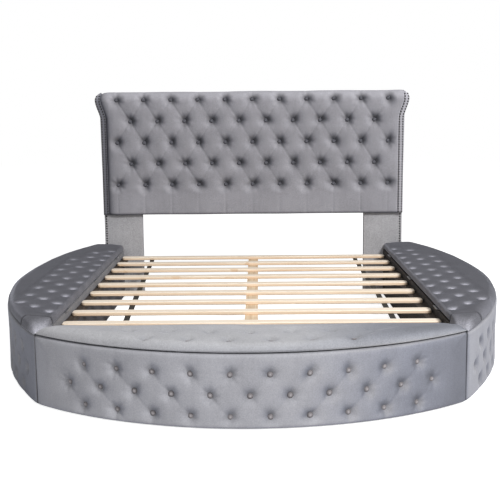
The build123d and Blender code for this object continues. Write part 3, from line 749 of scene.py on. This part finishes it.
def foot_lid(name, seed):
    """The foot lid's pad, with two rows of buttons that follow its curve."""
    reach = foot_lid_box[1].x
    columns = 70
    rows = int(2 * reach / lid_step)
    x = reach * (2 * clustered(rows, bunch=0.5) - 1)
    front, rear = foot_outline_y(x), foot_inner_y(x)
    rear = np.maximum(rear, front + least_span)
    share = clustered(columns, bunch=0.75)
    y = rear[:, None] + (front - rear)[:, None] * share
    x = np.broadcast_to(x[:, None], y.shape)
    plan = np.stack([x, y], -1)
    slant = (mitre_y(np.abs(x)) - y) / hypot(1, mitre_slope) - seam_half
    arch = np.polyval(foot_lid_curve, (y - cad_box[0].y) / foot_reach)
    places = button_places("foot_lid_buttons")
    hems = [foot_outline_y(b[0]) for b in places]
    edges = [(b[:2], (b[0], hem)) for b, hem in zip(places, hems) if b[1] - hem < hem_pleat_reach]
    depth = tufting(x, y, places, lid_button_depth, seed, edges,
                    fold=0.003, reach=0.034, pleat_width=0.008)
    swell = arch + lid_swell + wander(x, y, seed, size=0.0015) - depth
    swell = softer_of(swell, 0.004 + 0.95 * np.clip(slant, 0, 1), blend=0.008)
    height = lid_low + lid_foot + lid_lift(plan.reshape(-1, 2)).reshape(x.shape)
    outer_edge = curved_edge(foot_circle, x, y)
    hinge_edge = eased(join_y - seam_half - y, hinge_round)
    height = height + (swell + lid_low + lid_gap - height) * outer_edge * hinge_edge

    def limits(edge, inset):
        """The outline moved in by a distance."""
        nx = np.clip(edge[:, 0], -reach + 2.2 * inset, reach - 2.2 * inset)
        low, high = foot_outline_y(nx, inset), foot_inner_y(nx, inset)
        return np.column_stack([nx, np.clip(edge[:, 1], low, np.maximum(low, high))])

    def pile(points):
        """The pile's direction sets the painted light, and paints the lid darker towards its right end."""
        painted_darkening = np.clip((points[:, 0] / reach - 0.2) / 0.5, 0, 1)
        return np.stack([-0.3 + 0 * painted_darkening, 0.2 + 0 * painted_darkening, 0.05 - 0.75 * painted_darkening], -1)

    piece = lid_mesh(name, plan, pocket_layers(limits, lid_lift), height, foot_lid_velvet,
                     np.clip(depth / foot_lid_full_pinch, 0, 1), pile=pile)
    fitted_pad(piece, "foot_lid", "foot_lid_pad")


foot_lid("foot_lid_velvet_pad", 23)


# The corner caps are small foam pads under the same velvet, fixed between the foot lid and the side
# lids. They carry on the side lids' shape and slope down to the corner joint.
corner_highlight_reach = 0.1


def corner_cap(name, side, brushing):
    """One fixed corner cap, painted lighter towards the corner joint as a highlight."""
    word = "right" if side > 0 else "left"
    tip_y, rear_y = corner_y + seam_half, side_lid_front - 2 * seam_half
    y = tip_y + (rear_y - tip_y) * clustered(44, bunch=0.5)
    along_mitre = half_well + (join_y - y) / mitre_slope + seam_half * hypot(1, 1 / mitre_slope)
    inner = np.maximum(side_lid_inner, along_mitre)
    outer = np.maximum(side_outline_x(y), inner + 0.0004)
    share = clustered(34, bunch=0.7)
    x = inner[:, None] + (outer - inner)[:, None] * share
    y = np.broadcast_to(y[:, None], x.shape)
    outer_edge = curved_edge(side_circle, x, y)
    inner_edge = eased(x - side_lid_inner, lid_side_round)
    rear_edge = eased(rear_y - y, lid_end_round)
    slant = (y - mitre_y(x)) / hypot(1, mitre_slope) - seam_half
    swell = softer_of(side_arch(x) + lid_swell, 0.008 + 0.8 * np.clip(slant, 0, 1), blend=0.012)
    height = lid_low + lid_gap + np.maximum(swell, 0.0002) * outer_edge * inner_edge * rear_edge
    # A painted highlight that grows towards the corner joint.
    brushed = brushing * np.clip(1 - slant / corner_highlight_reach, 0, 1) ** 1.5
    cap = lid_mesh(name, np.stack([x, y], -1), lambda edge: [(edge, box_top)], height,
                   cap_velvet, brushed, side)
    fitted_pad(cap, "frame", f"{word}_bench_corner_cap")


# The caps' velvet is a dark copy of the cloth, as painted shade, and its negative crush paints the
# highlight near the corner.
cap_velvet = velvet("cap_velvet", (0.085, 0.085, 0.095), crush_and_shade=-2.4, brushing=0.7, painted_nap_light=0.7, mottle=0.5)
# The second number is the strength of the painted highlight, less on the right cap, which the lamps light
# more.
corner_cap("right_corner_velvet_cap", 1, 0.8)
corner_cap("left_corner_velvet_cap", -1, 1.1)


# The headboard's pad is foam on a board, with velvet pulled over the rolled top and stapled behind.
# Five rows of buttons stand in diamonds above a plain strip along the lower edge.
headboard_velvet = velvet("headboard_velvet", (0.29, 0.285, 0.31), crush_and_shade=0.5, painted_nap_light=1.25, mottle=0.17)
pad_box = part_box("headboard_tufted_pad")
border_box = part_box("headboard_right_border")
cover_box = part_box("headboard_back_cover")
roll_radius = 0.055
roll_core = 0.032
roll_y, roll_z = pad_box[0].y + roll_radius, pad_box[1].z - roll_radius
head_step = 0.0047


def headboard_profile():
    """Section of the pad: (y, z), distance up the cover, outward direction, and its give."""
    front, low, rim = pad_box[0].y, pad_box[0].z, 0.012
    corner = np.linspace(-pi / 2, 0, 6)
    rise = np.arange(low + rim + head_step, roll_z, head_step)
    back_y = cover_box[1].y + 0.0005
    last = pi + acos((back_y - roll_y) / roll_radius)
    roll = np.linspace(0, last, int(last * roll_radius / head_step))
    y = [*(front + rim - rim * np.cos(corner)), *(front + 0 * rise), *(roll_y - roll_radius * np.cos(roll))]
    z = [*(low + rim + rim * np.sin(corner)), *rise, *(roll_z + roll_radius * np.sin(roll))]
    up = [*(low + rim + rim * np.sin(corner)), *rise, *(roll_z + roll_radius * roll)]
    out = [*zip(-np.cos(corner), np.sin(corner)), *[(-1, 0)] * len(rise),
           *zip(-np.cos(roll), np.sin(roll))]
    give = [*np.cos(corner), *(1 + 0 * rise), *np.clip((last - roll) / 0.3, 0, 1)]
    core_y = cover_box[0].y
    inner = np.linspace(-acos((core_y - roll_y) / roll_core),
                        pi + acos((roll_y - core_front_y) / roll_core), 20)
    tail_y = [core_y, *(roll_y + roll_core * np.cos(inner)), *[core_front_y] * 6]
    tail_z = [z[-1], *(roll_z + roll_core * np.sin(inner)), *np.linspace(roll_z - 0.1, low, 6)]
    count = len(tail_y)
    return (np.array(y + tail_y), np.array(z + tail_z), np.array(up + [0] * count),
            np.array(out + [(0, 0)] * count), np.array(give + [0] * count))


border_flare = 0.032
border_width = 0.032
ear_radius = 0.038
flare_height = 0.165
border_outer = border_box[1].x - border_flare
flare_low, ear_z = pad_box[1].z - flare_height, pad_box[1].z - ear_radius


def flared(z):
    """How far the headboard's sides stand out from straight at a height."""
    share = np.clip((z - flare_low) / (ear_z - flare_low), 0, 1)
    return border_flare * share ** 2 * (3 - 2 * share)


headboard_seed = 31
head_swell = 0.006
head_button_depth = 0.02
head_full_pinch = 0.017
left_roll, right_roll, side_reach, side_hold = 0.014, 0.003, 0.016, 0.008
strip_gap = 0.03
core_front_y = head_y + 0.012
y, z, up, out, give = headboard_profile()
half_pad = border_outer - border_width + flared(z)
columns = int(2 * half_pad.max() / head_step)
share = clustered(columns, bunch=0.12)
x = (2 * share - 1)[:, None] * half_pad
along_up = np.broadcast_to(up, x.shape)
buttons = button_places("headboard_buttons")[:, [0, 2]]
low_row = buttons[:, 1].min()
edges = edge_pleats(buttons, high=roll_z + 2.4 * roll_radius, low=pad_box[0].z + 0.01)
depth = tufting(x, along_up, buttons, head_button_depth, headboard_seed, edges,
                fold=0.0055, reach=0.05, pleat_width=0.009)
from_side = half_pad - np.abs(x)
depth = depth + np.where(x < 0, left_roll, right_roll) * np.exp(-from_side / side_reach)
swell = give * (head_swell + wander(x, along_up, headboard_seed, size=0.0015) - depth)
points = np.stack([x, y + out[:, 0] * swell, z + out[:, 1] * swell], -1)
# The pinch paints shade into the pits, the pleats and the rolled-in sides, most on the left.
pinch_and_shade = np.clip(give * depth / head_full_pinch, 0, 1)
plain_strip = np.clip((low_row - strip_gap - along_up) / strip_gap, 0, 1)
held = sewn(pinch_and_shade) + (1 - give) + np.exp(-from_side / side_hold) + 0.9 * plain_strip
# The pile's direction paints each pit light at its lower left and dark at its upper right, as light from
# the upper right would.
headboard = make_piece("headboard_velvet_pad", points, loop_faces(columns, len(y)), headboard_velvet,
                       pinch_and_shade, (painted_light_side, 0, painted_light_up), held)
fitted_pad(headboard, "frame", "headboard_tufted_pad")


# The headboard's side borders are boards padded thinly in velvet, with eared tops that follow the
# roll. Each runs from beside the tufted pad out to a rounded edge.
border_setback = border_box[0].y - pad_box[0].y


def border_edge_x(z):
    """Outer edge of the right border at a height, with its rounded ear."""
    edge = border_outer + flared(z)
    above = np.clip(z - ear_z, 0, ear_radius)
    return edge - ear_radius + np.sqrt(ear_radius ** 2 - above ** 2)


def border_section():
    """Side view of a border as points (y, z), with the outward direction at each."""
    front, back, low = border_box[0].y, cover_box[1].y, border_box[0].z
    last = pi + acos((back - roll_y) / roll_radius)
    start = asin(border_setback / roll_radius)
    turn = np.linspace(start, last, 44)
    rise = np.linspace(low, roll_z, 60)[:-1]
    fall = np.linspace(roll_z - roll_radius, low, 24)[1:]
    y = [*(front + 0 * rise), *(roll_y - roll_radius * np.cos(turn)), *(back + 0 * fall)]
    z = [*rise, *(roll_z + roll_radius * np.sin(turn)), *fall]
    away = [*[(-1, 0)] * len(rise), *zip(-np.cos(turn), np.sin(turn)), *[(1, 0)] * len(fall)]
    return np.array(y), np.array(z), np.array(away)


def border(name, node, side, pile):
    """One border, from beside the pad out to its rounded edge, with its pile's direction, which sets its
    painted light and shade.
    """
    y, z, away = border_section()
    inner = border_outer - border_width + flared(z)
    width = np.maximum(border_edge_x(z) - inner, 0.002)
    rings = []
    edge_round, puff = 0.007, 0.003
    round_share = edge_round / border_width
    turns = np.linspace(0, pi / 2, 7)
    for share in (0, 0.25, 0.5, 0.7, *(1 - round_share * (1 - np.sin(turns)))):
        past = max(share - 1 + round_share, 0) * border_width
        inset = edge_round - sqrt(edge_round ** 2 - min(past, edge_round) ** 2)
        lift = puff * sin(pi * min(share, 1)) - inset
        rings.append(np.stack([side * (inner + share * width), y + away[:, 0] * lift,
                               z + away[:, 1] * lift], -1))
    piece = make_piece(name, np.array(rings), loop_faces(len(rings), len(y)), headboard_velvet,
                       pile=pile)
    fitted_pad(piece, "frame", node)


# The left border's pile paints it darker, as shade.
border("right_border_velvet", "headboard_right_border", 1, (0.4, -0.25, 0.5))
border("left_border_velvet", "headboard_left_border", -1, (-0.4, 0.42, 0.3))


# The foam pushes the covers out between the places where twine, staples and seams hold them, and
# the cloth finds its own folds there. The thinly padded borders and the side walls stay as drawn.
def settle(pieces, pressure=4, steps=9, most=0.004):
    """Lets the foam push out the cloth of all covers at once, each point by a few millimetres."""
    levels = 10
    for piece in pieces:
        mesh = piece.data
        held = np.zeros(len(mesh.vertices))
        mesh.attributes["held"].data.foreach_get("value", held)
        held = np.round(np.clip(held, 0, 1) * levels).astype(int)
        group = piece.vertex_groups.new(name="held")
        for level in range(1, levels + 1):
            group.add(np.flatnonzero(held == level).tolist(), level / levels, "REPLACE")
        cloth = piece.modifiers.new("cloth", "CLOTH")
        cloth.settings.quality = 3
        cloth.settings.time_scale = 2
        cloth.settings.mass = 0.2
        cloth.settings.tension_stiffness = cloth.settings.compression_stiffness = 20
        cloth.settings.bending_stiffness = 0.4
        cloth.settings.vertex_group_mass = group.name
        cloth.settings.use_pressure = True
        cloth.settings.uniform_pressure_force = pressure
        cloth.settings.effector_weights.gravity = 0
        cloth.point_cache.frame_start, cloth.point_cache.frame_end = 1, steps
    for step in range(1, steps + 1):
        scene.frame_set(step)
    view = bpy.context.evaluated_depsgraph_get()
    for piece in pieces:
        before = np.zeros(3 * len(piece.data.vertices))
        after = before.copy()
        piece.data.vertices.foreach_get("co", before)
        piece.evaluated_get(view).data.vertices.foreach_get("co", after)
        move = (after - before).reshape(-1, 3)
        far = np.linalg.norm(move, axis=1, keepdims=True)
        move *= np.minimum(1, most / np.maximum(far, 1e-9))
        piece.modifiers.clear()
        piece.vertex_groups.clear()
        piece.data.vertices.foreach_set("co", before + move.ravel())
        piece.data.update()
        paint_nap_light(piece.data)
    scene.frame_set(1)


settle(covers)
for piece in scene.objects:
    for layer in ("pile", "held"):
        if piece.type == "MESH" and layer in piece.data.attributes:
            piece.data.attributes.remove(piece.data.attributes[layer])


# Two broad legs carry the headboard. Each is a board wrapped in velvet, which is stapled behind
# and softens the board's edges.
leg_velvet = velvet("leg_velvet", (0.37, 0.365, 0.38), brushing=0.4, mottle=0.35)
leg_edge_round = 0.005


def wrapped_board(name, node):
    """A board wrapped in cloth, with soft edges."""
    low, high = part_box(node)
    shape = bmesh.new()
    bmesh.ops.create_cube(shape, size=1)
    for vertex in shape.verts:
        vertex.co = [(low[i] + high[i]) / 2 + vertex.co[i] * (high[i] - low[i]) for i in range(3)]
    bmesh.ops.bevel(shape, geom=shape.edges, offset=leg_edge_round, segments=4, profile=0.5,
                    affect="EDGES")
    mesh = bpy.data.meshes.new(name)
    shape.to_mesh(mesh)
    shape.free()
    mesh.shade_smooth()
    mesh.materials.append(leg_velvet)
    piece = bpy.data.objects.new(name, mesh)
    scene.collection.objects.link(piece)
    fitted(piece, "frame", "covered_board", node)


for word in ("left", "right"):
    wrapped_board(f"{word}_leg_velvet", f"{word}_leg_board")


# Covered buttons hold the tufts: a domed metal shell in velvet, drawn down by twine. One shape is
# set at every place of a group, square to the cloth round it.
# The buttons' velvet is painted darker towards each button's base, as the shade where it sits in the cloth.
# The headboard's buttons are a darker copy, painted as the shade of their deep pits.
button_velvet = velvet("button_velvet", (0.37, 0.345, 0.355), crush_and_shade=0.8)
painted_shade_button_velvet = velvet("painted_shade_button_velvet", (0.13, 0.13, 0.15), crush_and_shade=0.5)


def bake(piece):
    """Turns a piece's modifiers into its plain mesh."""
    view = bpy.context.evaluated_depsgraph_get()
    mesh = bpy.data.meshes.new_from_object(piece.evaluated_get(view))
    piece.modifiers.clear()
    piece.data = mesh


def instanced(name, places, directions, master, scale=1.0):
    """One shape at each place, facing each direction, as a plain mesh."""
    mesh = bpy.data.meshes.new(name)
    mesh.from_pydata([tuple(p) for p in places], [], [])
    facing = mesh.attributes.new("facing", "FLOAT_VECTOR", "POINT")
    facing.data.foreach_set("vector", np.ravel(directions))
    piece = bpy.data.objects.new(name, mesh)
    scene.collection.objects.link(piece)
    tree = bpy.data.node_groups.new(name, "GeometryNodeTree")
    tree.is_modifier = True
    tree.interface.new_socket("Geometry", in_out="INPUT", socket_type="NodeSocketGeometry")
    size = tree.interface.new_socket("Size", in_out="INPUT", socket_type="NodeSocketFloat")
    tree.interface.new_socket("Geometry", in_out="OUTPUT", socket_type="NodeSocketGeometry")
    given, result = tree.nodes.new("NodeGroupInput").outputs, tree.nodes.new("NodeGroupOutput")
    facing = add_node(tree, "GeometryNodeInputNamedAttribute", data_type="FLOAT_VECTOR",
                      values={"Name": "facing"})
    turn = add_node(tree, "FunctionNodeAlignRotationToVector", axis="Z",
                    values={"Vector": facing.outputs[0]})
    shape = add_node(tree, "GeometryNodeObjectInfo", values={"Object": master})
    copies = add_node(tree, "GeometryNodeInstanceOnPoints", values={
        "Points": given["Geometry"], "Instance": shape.outputs["Geometry"],
        "Rotation": turn.outputs[0], "Scale": given["Size"]})
    real = add_node(tree, "GeometryNodeRealizeInstances", copies.outputs[0])
    finish = add_node(tree, "GeometryNodeSetMaterial", values={
        "Geometry": real.outputs[0], "Material": master.data.materials[0]})
    set_inputs(tree, result, {"Geometry": finish.outputs[0]})
    modifier = piece.modifiers.new("copies", "NODES")
    modifier.node_group = tree
    modifier[size.identifier] = scale
    bake(piece)
    piece.data.shade_smooth()
    return piece


def dome(name, radius, height, material, sides=16, rings=4):
    """A domed disc about the origin, facing up, with a closed flat base."""
    points = []
    for ring in range(rings):
        turn = ring / rings * pi / 2
        for side in range(sides):
            spin = 2 * pi * side / sides
            points.append((radius * cos(turn) * cos(spin), radius * cos(turn) * sin(spin),
                           height * sin(turn)))
    points.append((0, 0, height))
    *faces, top = loop_faces(rings, sides)
    faces += [[here, there, rings * sides] for here, there in zip(top, rolled(top))]
    # This share paints a button darker towards its base, as shade.
    rim = [(1 - ring / rings) ** 0.5 for ring in range(rings) for side in range(sides)] + [0]
    return make_piece(name, points, faces, material, rim)


button_rise = 0.001
button_master = dome("button_shape", 0.0118, 0.006, button_velvet)
dark_button_master = dome("dark_button_shape", 0.0112, 0.0055, painted_shade_button_velvet)


def covered_buttons(node, name, body, facing, master=button_master):
    """All buttons of one node, each set into the cloth."""
    places = button_places(node)
    directions = np.array([facing(p) for p in places])
    piece = instanced(name, places + button_rise * directions, directions, master)
    fitted(piece, body, "velvet_buttons", node)


def outward(circle, side=1):
    """Direction out of a curved wall at a place on it."""
    def facing(place):
        run = Vector((place[0] - side * circle[0], place[1] - circle[1], 0)).normalized()
        return tuple(run)
    return facing


covered_buttons("headboard_buttons", "headboard_covered_buttons", "frame", lambda place: (0, -1, 0),
                dark_button_master)
covered_buttons("foot_bench_wall_buttons", "foot_wall_covered_buttons", "frame", outward(foot_circle))
for word, side in (("right", 1), ("left", -1)):
    covered_buttons(f"{word}_bench_wall_buttons", f"{word}_wall_covered_buttons", "frame",
                    outward(side_circle, side))
for word in ("foot", "right", "left"):
    covered_buttons(f"{word}_lid_buttons", f"{word}_lid_covered_buttons", f"{word}_lid",
                    lambda place: (0, 0, 1))


# Nailheads trim the headboard's borders and the legs: small domed steel tacks in a dark finish, in
# two close rows up each border and one row down the outer side of each leg.
nail_steel, tree, shader = new_material("nail_steel")
tarnish = noise(tree, object_place(tree), 260, 3)
set_inputs(tree, shader, {"Base Color": (0.045, 0.042, 0.042, 1), "Metallic": 0.7,
                          "Roughness": rescaled(tree, tarnish, 0, 1, 0.25, 0.5)})
nail_master = dome("nail_shape", 0.0052, 0.003, nail_steel, sides=10, rings=3)
nail_pitch = 0.0145
nail_lift = 0.0017
border_margins = (0.008, 0.012)
leg_margins = (0.01, 0.006)
inner_row, outer_row, leg_row = 0.006, 0.007, 0.012


def border_surface_y(z):
    """Front face of the border at a height, as it follows the roll."""
    rise = max(z - roll_z, 0)
    return max(roll_y - sqrt(max(roll_radius ** 2 - rise ** 2, 0)), border_box[0].y)


places, directions = [], []
low, high = border_box[0].z + border_margins[0], border_box[1].z - border_margins[1]
for z in np.arange(low, high, nail_pitch):
    rise = min(max((z - roll_z) / roll_radius, 0), 0.99)
    lean = (0, -sqrt(1 - rise ** 2), rise)
    inner = border_outer - border_width + flared(z) + inner_row
    for x in (inner, border_edge_x(z) - outer_row):
        for side in (-1, 1):
            places.append((side * x, border_surface_y(z) + nail_lift * lean[1], z + nail_lift * lean[2]))
            directions.append(lean)
leg_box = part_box("right_leg_board")
for z in np.arange(leg_box[0].z + leg_margins[0], leg_box[1].z - leg_margins[1], nail_pitch):
    for side in (-1, 1):
        places.append((side * (leg_box[1].x - leg_row), leg_box[0].y, z))
        directions.append((0, -1, 0))
nailheads = instanced("nailheads", places, directions, nail_master)
fitted(nailheads, "frame", "hinge_steel")
for master in (button_master, dark_button_master, nail_master):
    bpy.data.objects.remove(master)


# The slats are planed pine with rounded ends and eased edges. They rest on pine ledges at both
# sides and on a pine beam in the middle.
def wood_group():
    """Node group for wood: colour and grain from a light and a dark tone."""
    group, given, result = new_group("wood_grain", {"Light": "Color", "Dark": "Color", "Stretch": "Vector"},
                                     {"Colour": "Color", "Grain": "Float"})
    fine_share = 0.35
    place = object_place(group)
    along = add_node(group, "ShaderNodeVectorMath", place, given["Stretch"], operation="MULTIPLY")
    rings = noise(group, along.outputs[0], 1, 5, distortion=1.4)
    fine = noise(group, along.outputs[0], 7, 2)
    grain = maths(group, "MULTIPLY_ADD", fine, fine_share, rings)
    knots = rescaled(group, noise(group, place, 9, 1), 0.7, 0.76)
    dark = maths(group, "MAXIMUM", rescaled(group, grain, 0.5, 0.95), knots)
    set_inputs(group, result, {"Colour": mixed(group, dark, given["Light"], given["Dark"]),
                               "Grain": grain})
    return group


wood_grain = wood_group()
side_shade_tone = (0.9, 0.8, 0.7)


def wood(name, light, dark, stretch):
    """Bare wood with its grain along one direction, with painted shade that makes its sides darker and
    warmer than its top.
    """
    material, tree, shader = new_material(name)
    grain = add_node(tree, "ShaderNodeGroup", node_tree=wood_grain, values={
        "Light": (*light, 1), "Dark": (*dark, 1), "Stretch": stretch})
    bump = add_node(tree, "ShaderNodeBump", values={
        "Strength": 0.2, "Distance": 0.0008, "Height": grain.outputs["Grain"]})
    face = add_node(tree, "ShaderNodeNewGeometry")
    split = add_node(tree, "ShaderNodeSeparateXYZ", face.outputs["True Normal"])
    # Faces that don't point up are painted darker and warmer, as shade.
    side_shade = rescaled(tree, split.outputs["Z"], 0.2, 0.8, 1, 0)
    colour = mixed(tree, side_shade, grain.outputs["Colour"], (*side_shade_tone, 1), "MULTIPLY")
    set_inputs(tree, shader, {"Base Color": colour, "Normal": bump.outputs[0], "Roughness": 0.6})
    return material


slat_pine = wood("slat_pine", (0.96, 0.87, 0.75), (0.84, 0.67, 0.5), (1.6, 45, 45))
# The stained pine's dark colour is painted shade: it stands in for the shade between the slat ends.
stained_pine = wood("stained_pine", (0.06, 0.042, 0.03), (0.03, 0.02, 0.014), (45, 1.6, 45))
beam_pine = wood("beam_pine", (0.78, 0.62, 0.44), (0.55, 0.36, 0.2), (45, 1.6, 45))
plywood = wood("plywood", (0.66, 0.5, 0.33), (0.48, 0.33, 0.2), (6, 6, 90))

slat_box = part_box("slats")
slat_count = 9
slat_width = 0.057
slat_rise = slat_box[1].z - slat_box[0].z


def slat_shape():
    """One slat about the origin, with rounded ends and eased edges."""
    half_x, half_y, corner, corner_steps = slat_box[1].x, slat_width / 2, 0.016, 5
    outline = []
    for turn_x, turn_y, start in ((1, 1, 0), (-1, 1, 1), (-1, -1, 2), (1, -1, 3)):
        for step in range(corner_steps + 1):
            angle = (start + step / corner_steps) * pi / 2
            outline.append((turn_x * (half_x - corner) + corner * cos(angle),
                            turn_y * (half_y - corner) + corner * sin(angle)))
    points, ease = [], 0.003
    levels = ((0, ease), (ease, 0), (slat_rise - ease, 0), (slat_rise, ease))
    for z, inset in levels:
        grow_x, grow_y = 1 - inset / half_x, 1 - inset / half_y
        points += [(px * grow_x, py * grow_y, z) for px, py in outline]
    piece = make_piece("slat_shape", points, loop_faces(len(levels), len(outline)), slat_pine)
    piece.data.shade_flat()
    return piece


slat_ys = np.linspace(slat_box[1].y - slat_width / 2, slat_box[0].y + slat_width / 2, slat_count)
slat_master = slat_shape()
slats = instanced("pine_slats", [(0, y, slat_box[0].z) for y in slat_ys],
                  [(0, 0, 1)] * slat_count, slat_master)
slats.data.shade_flat()
fitted(slats, "frame", "pine", "slats")
bpy.data.objects.remove(slat_master)


# Two straps of black webbing are stapled under the slats and keep them apart. They sag a little
# between the slats, and the left one was fixed at a slant.
webbing_black, tree, shader = new_material("webbing_black")
weave = add_node(tree, "ShaderNodeTexWave", bands_direction="Y", values={
    "Vector": object_place(tree), "Scale": 160, "Distortion": 0.4})
thread = mixed(tree, weave.outputs["Fac"], (0.012, 0.011, 0.01, 1), (0.04, 0.037, 0.034, 1))
set_inputs(tree, shader, {"Base Color": thread, "Roughness": 0.85})
strap_half = 0.0125
strap_thick = 0.0015
strap_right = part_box("webbing_straps")[1].x - strap_half
strap_left_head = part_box("webbing_straps")[0].x + strap_half
strap_drift = 0.076
strap_sag = 0.004
strap_steps = 161


def webbing(head_x, foot_x):
    """One strap under the slats, sagging a little between them."""
    y = np.linspace(slat_box[1].y, slat_box[0].y, strap_steps)
    phase = (slat_box[1].y - slat_width / 2 - y) / (slat_ys[0] - slat_ys[1])
    sag = strap_sag * np.clip(np.sin(pi * (phase % 1)), 0, 1) ** 2
    x = head_x + (foot_x - head_x) * (slat_box[1].y - y) / (slat_box[1].y - slat_box[0].y)
    z = slat_box[0].z - sag
    corners = [(-strap_half, 0), (strap_half, 0), (strap_half, -strap_thick), (-strap_half, -strap_thick)]
    return np.stack([np.stack([x + dx, y, z + dz], -1) for dx, dz in corners], 1)


points, faces = [], []
for head_x, foot_x in ((strap_right, strap_right), (strap_left_head, strap_left_head + strap_drift)):
    strap = webbing(head_x, foot_x)
    first = sum(len(p) for p in points)
    faces += [[first + k for k in face] for face in loop_faces(len(strap), 4)]
    points.append(strap.reshape(-1, 3))
straps = make_piece("webbing", np.concatenate(points), faces, webbing_black)
straps.data.shade_flat()
fitted(straps, "frame", "webbing", "webbing_straps")


# The boards, the steel and the small plastic pieces keep their own shapes. The velvet turns over
# the top edge of the well's inner faces, which are painted near-black below it as shade. Hinges and bolts
# are zinc.
well_turnover = slat_box[1].z - 0.012
turnover_edge = 0.002
painted_shade_colour = (0.03, 0.025, 0.022, 1)
uneven = 0.08


def plain(name, colour, roughness, metallic=0.0, grain=300):
    """A finish with fine uneven wear."""
    material, tree, shader = new_material(name)
    wear = noise(tree, object_place(tree), grain, 4)
    worn, bright = [c * 0.75 for c in colour], [min(c * 1.25, 1) for c in colour]
    set_inputs(tree, shader, {
        "Base Color": mixed(tree, wear, (*worn, 1), (*bright, 1)),
        "Roughness": rescaled(tree, wear, 0, 1, roughness - uneven, roughness + uneven),
        "Metallic": metallic})
    return material


# This near-black cloth is the headboard's back cover, and also painted shade on the well's right inner
# face.
lining_and_shade = plain("dark_lining", (0.035, 0.03, 0.028), 0.85, grain=900)
well_velvet = velvet("well_velvet", (0.2, 0.195, 0.2))
tree = well_velvet.node_tree
shader = tree.nodes["Principled BSDF"]
split = add_node(tree, "ShaderNodeSeparateXYZ", object_place(tree))
turned_over = rescaled(tree, split.outputs["Z"], well_turnover, well_turnover + turnover_edge)
velvet_colour = shader.inputs["Base Color"].links[0].from_socket
set_inputs(tree, shader, {"Base Color": mixed(tree, turned_over, painted_shade_colour, velvet_colour)})

zinc = plain("zinc", (0.6, 0.6, 0.61), 0.38, metallic=1.0, grain=80)
well_finish = {
    "foot_bench_inner_panel": well_velvet,
    "left_bench_inner_panel": well_velvet,
    # The right inner face is painted near-black all over, as shade.
    "right_bench_inner_panel": lining_and_shade,
}
finishes = {
    "plywood": plywood,
    "pine": beam_pine,
    "stained_pine": stained_pine,
    "covered_board": wall_velvet,
    "hinge_steel": zinc,
    "bolt_steel": zinc,
    "black_steel": plain("black_steel", (0.03, 0.03, 0.03), 0.5, grain=500),
    "back_cloth": lining_and_shade,
    "bumper_rubber": plain("bumper_rubber", (0.03, 0.03, 0.03), 0.7),
    "glide_plastic": plain("black_nylon", (0.04, 0.04, 0.04), 0.5),
    "velvet": wall_velvet,
    "velvet_buttons": button_velvet,
    "webbing": webbing_black,
}
for part in frame["record"]["subparts"]:
    node = nodes[part["node"]]
    node.data.materials.clear()
    node.data.materials.append(well_finish.get(part["node"], finishes[part["material_slot"]]))
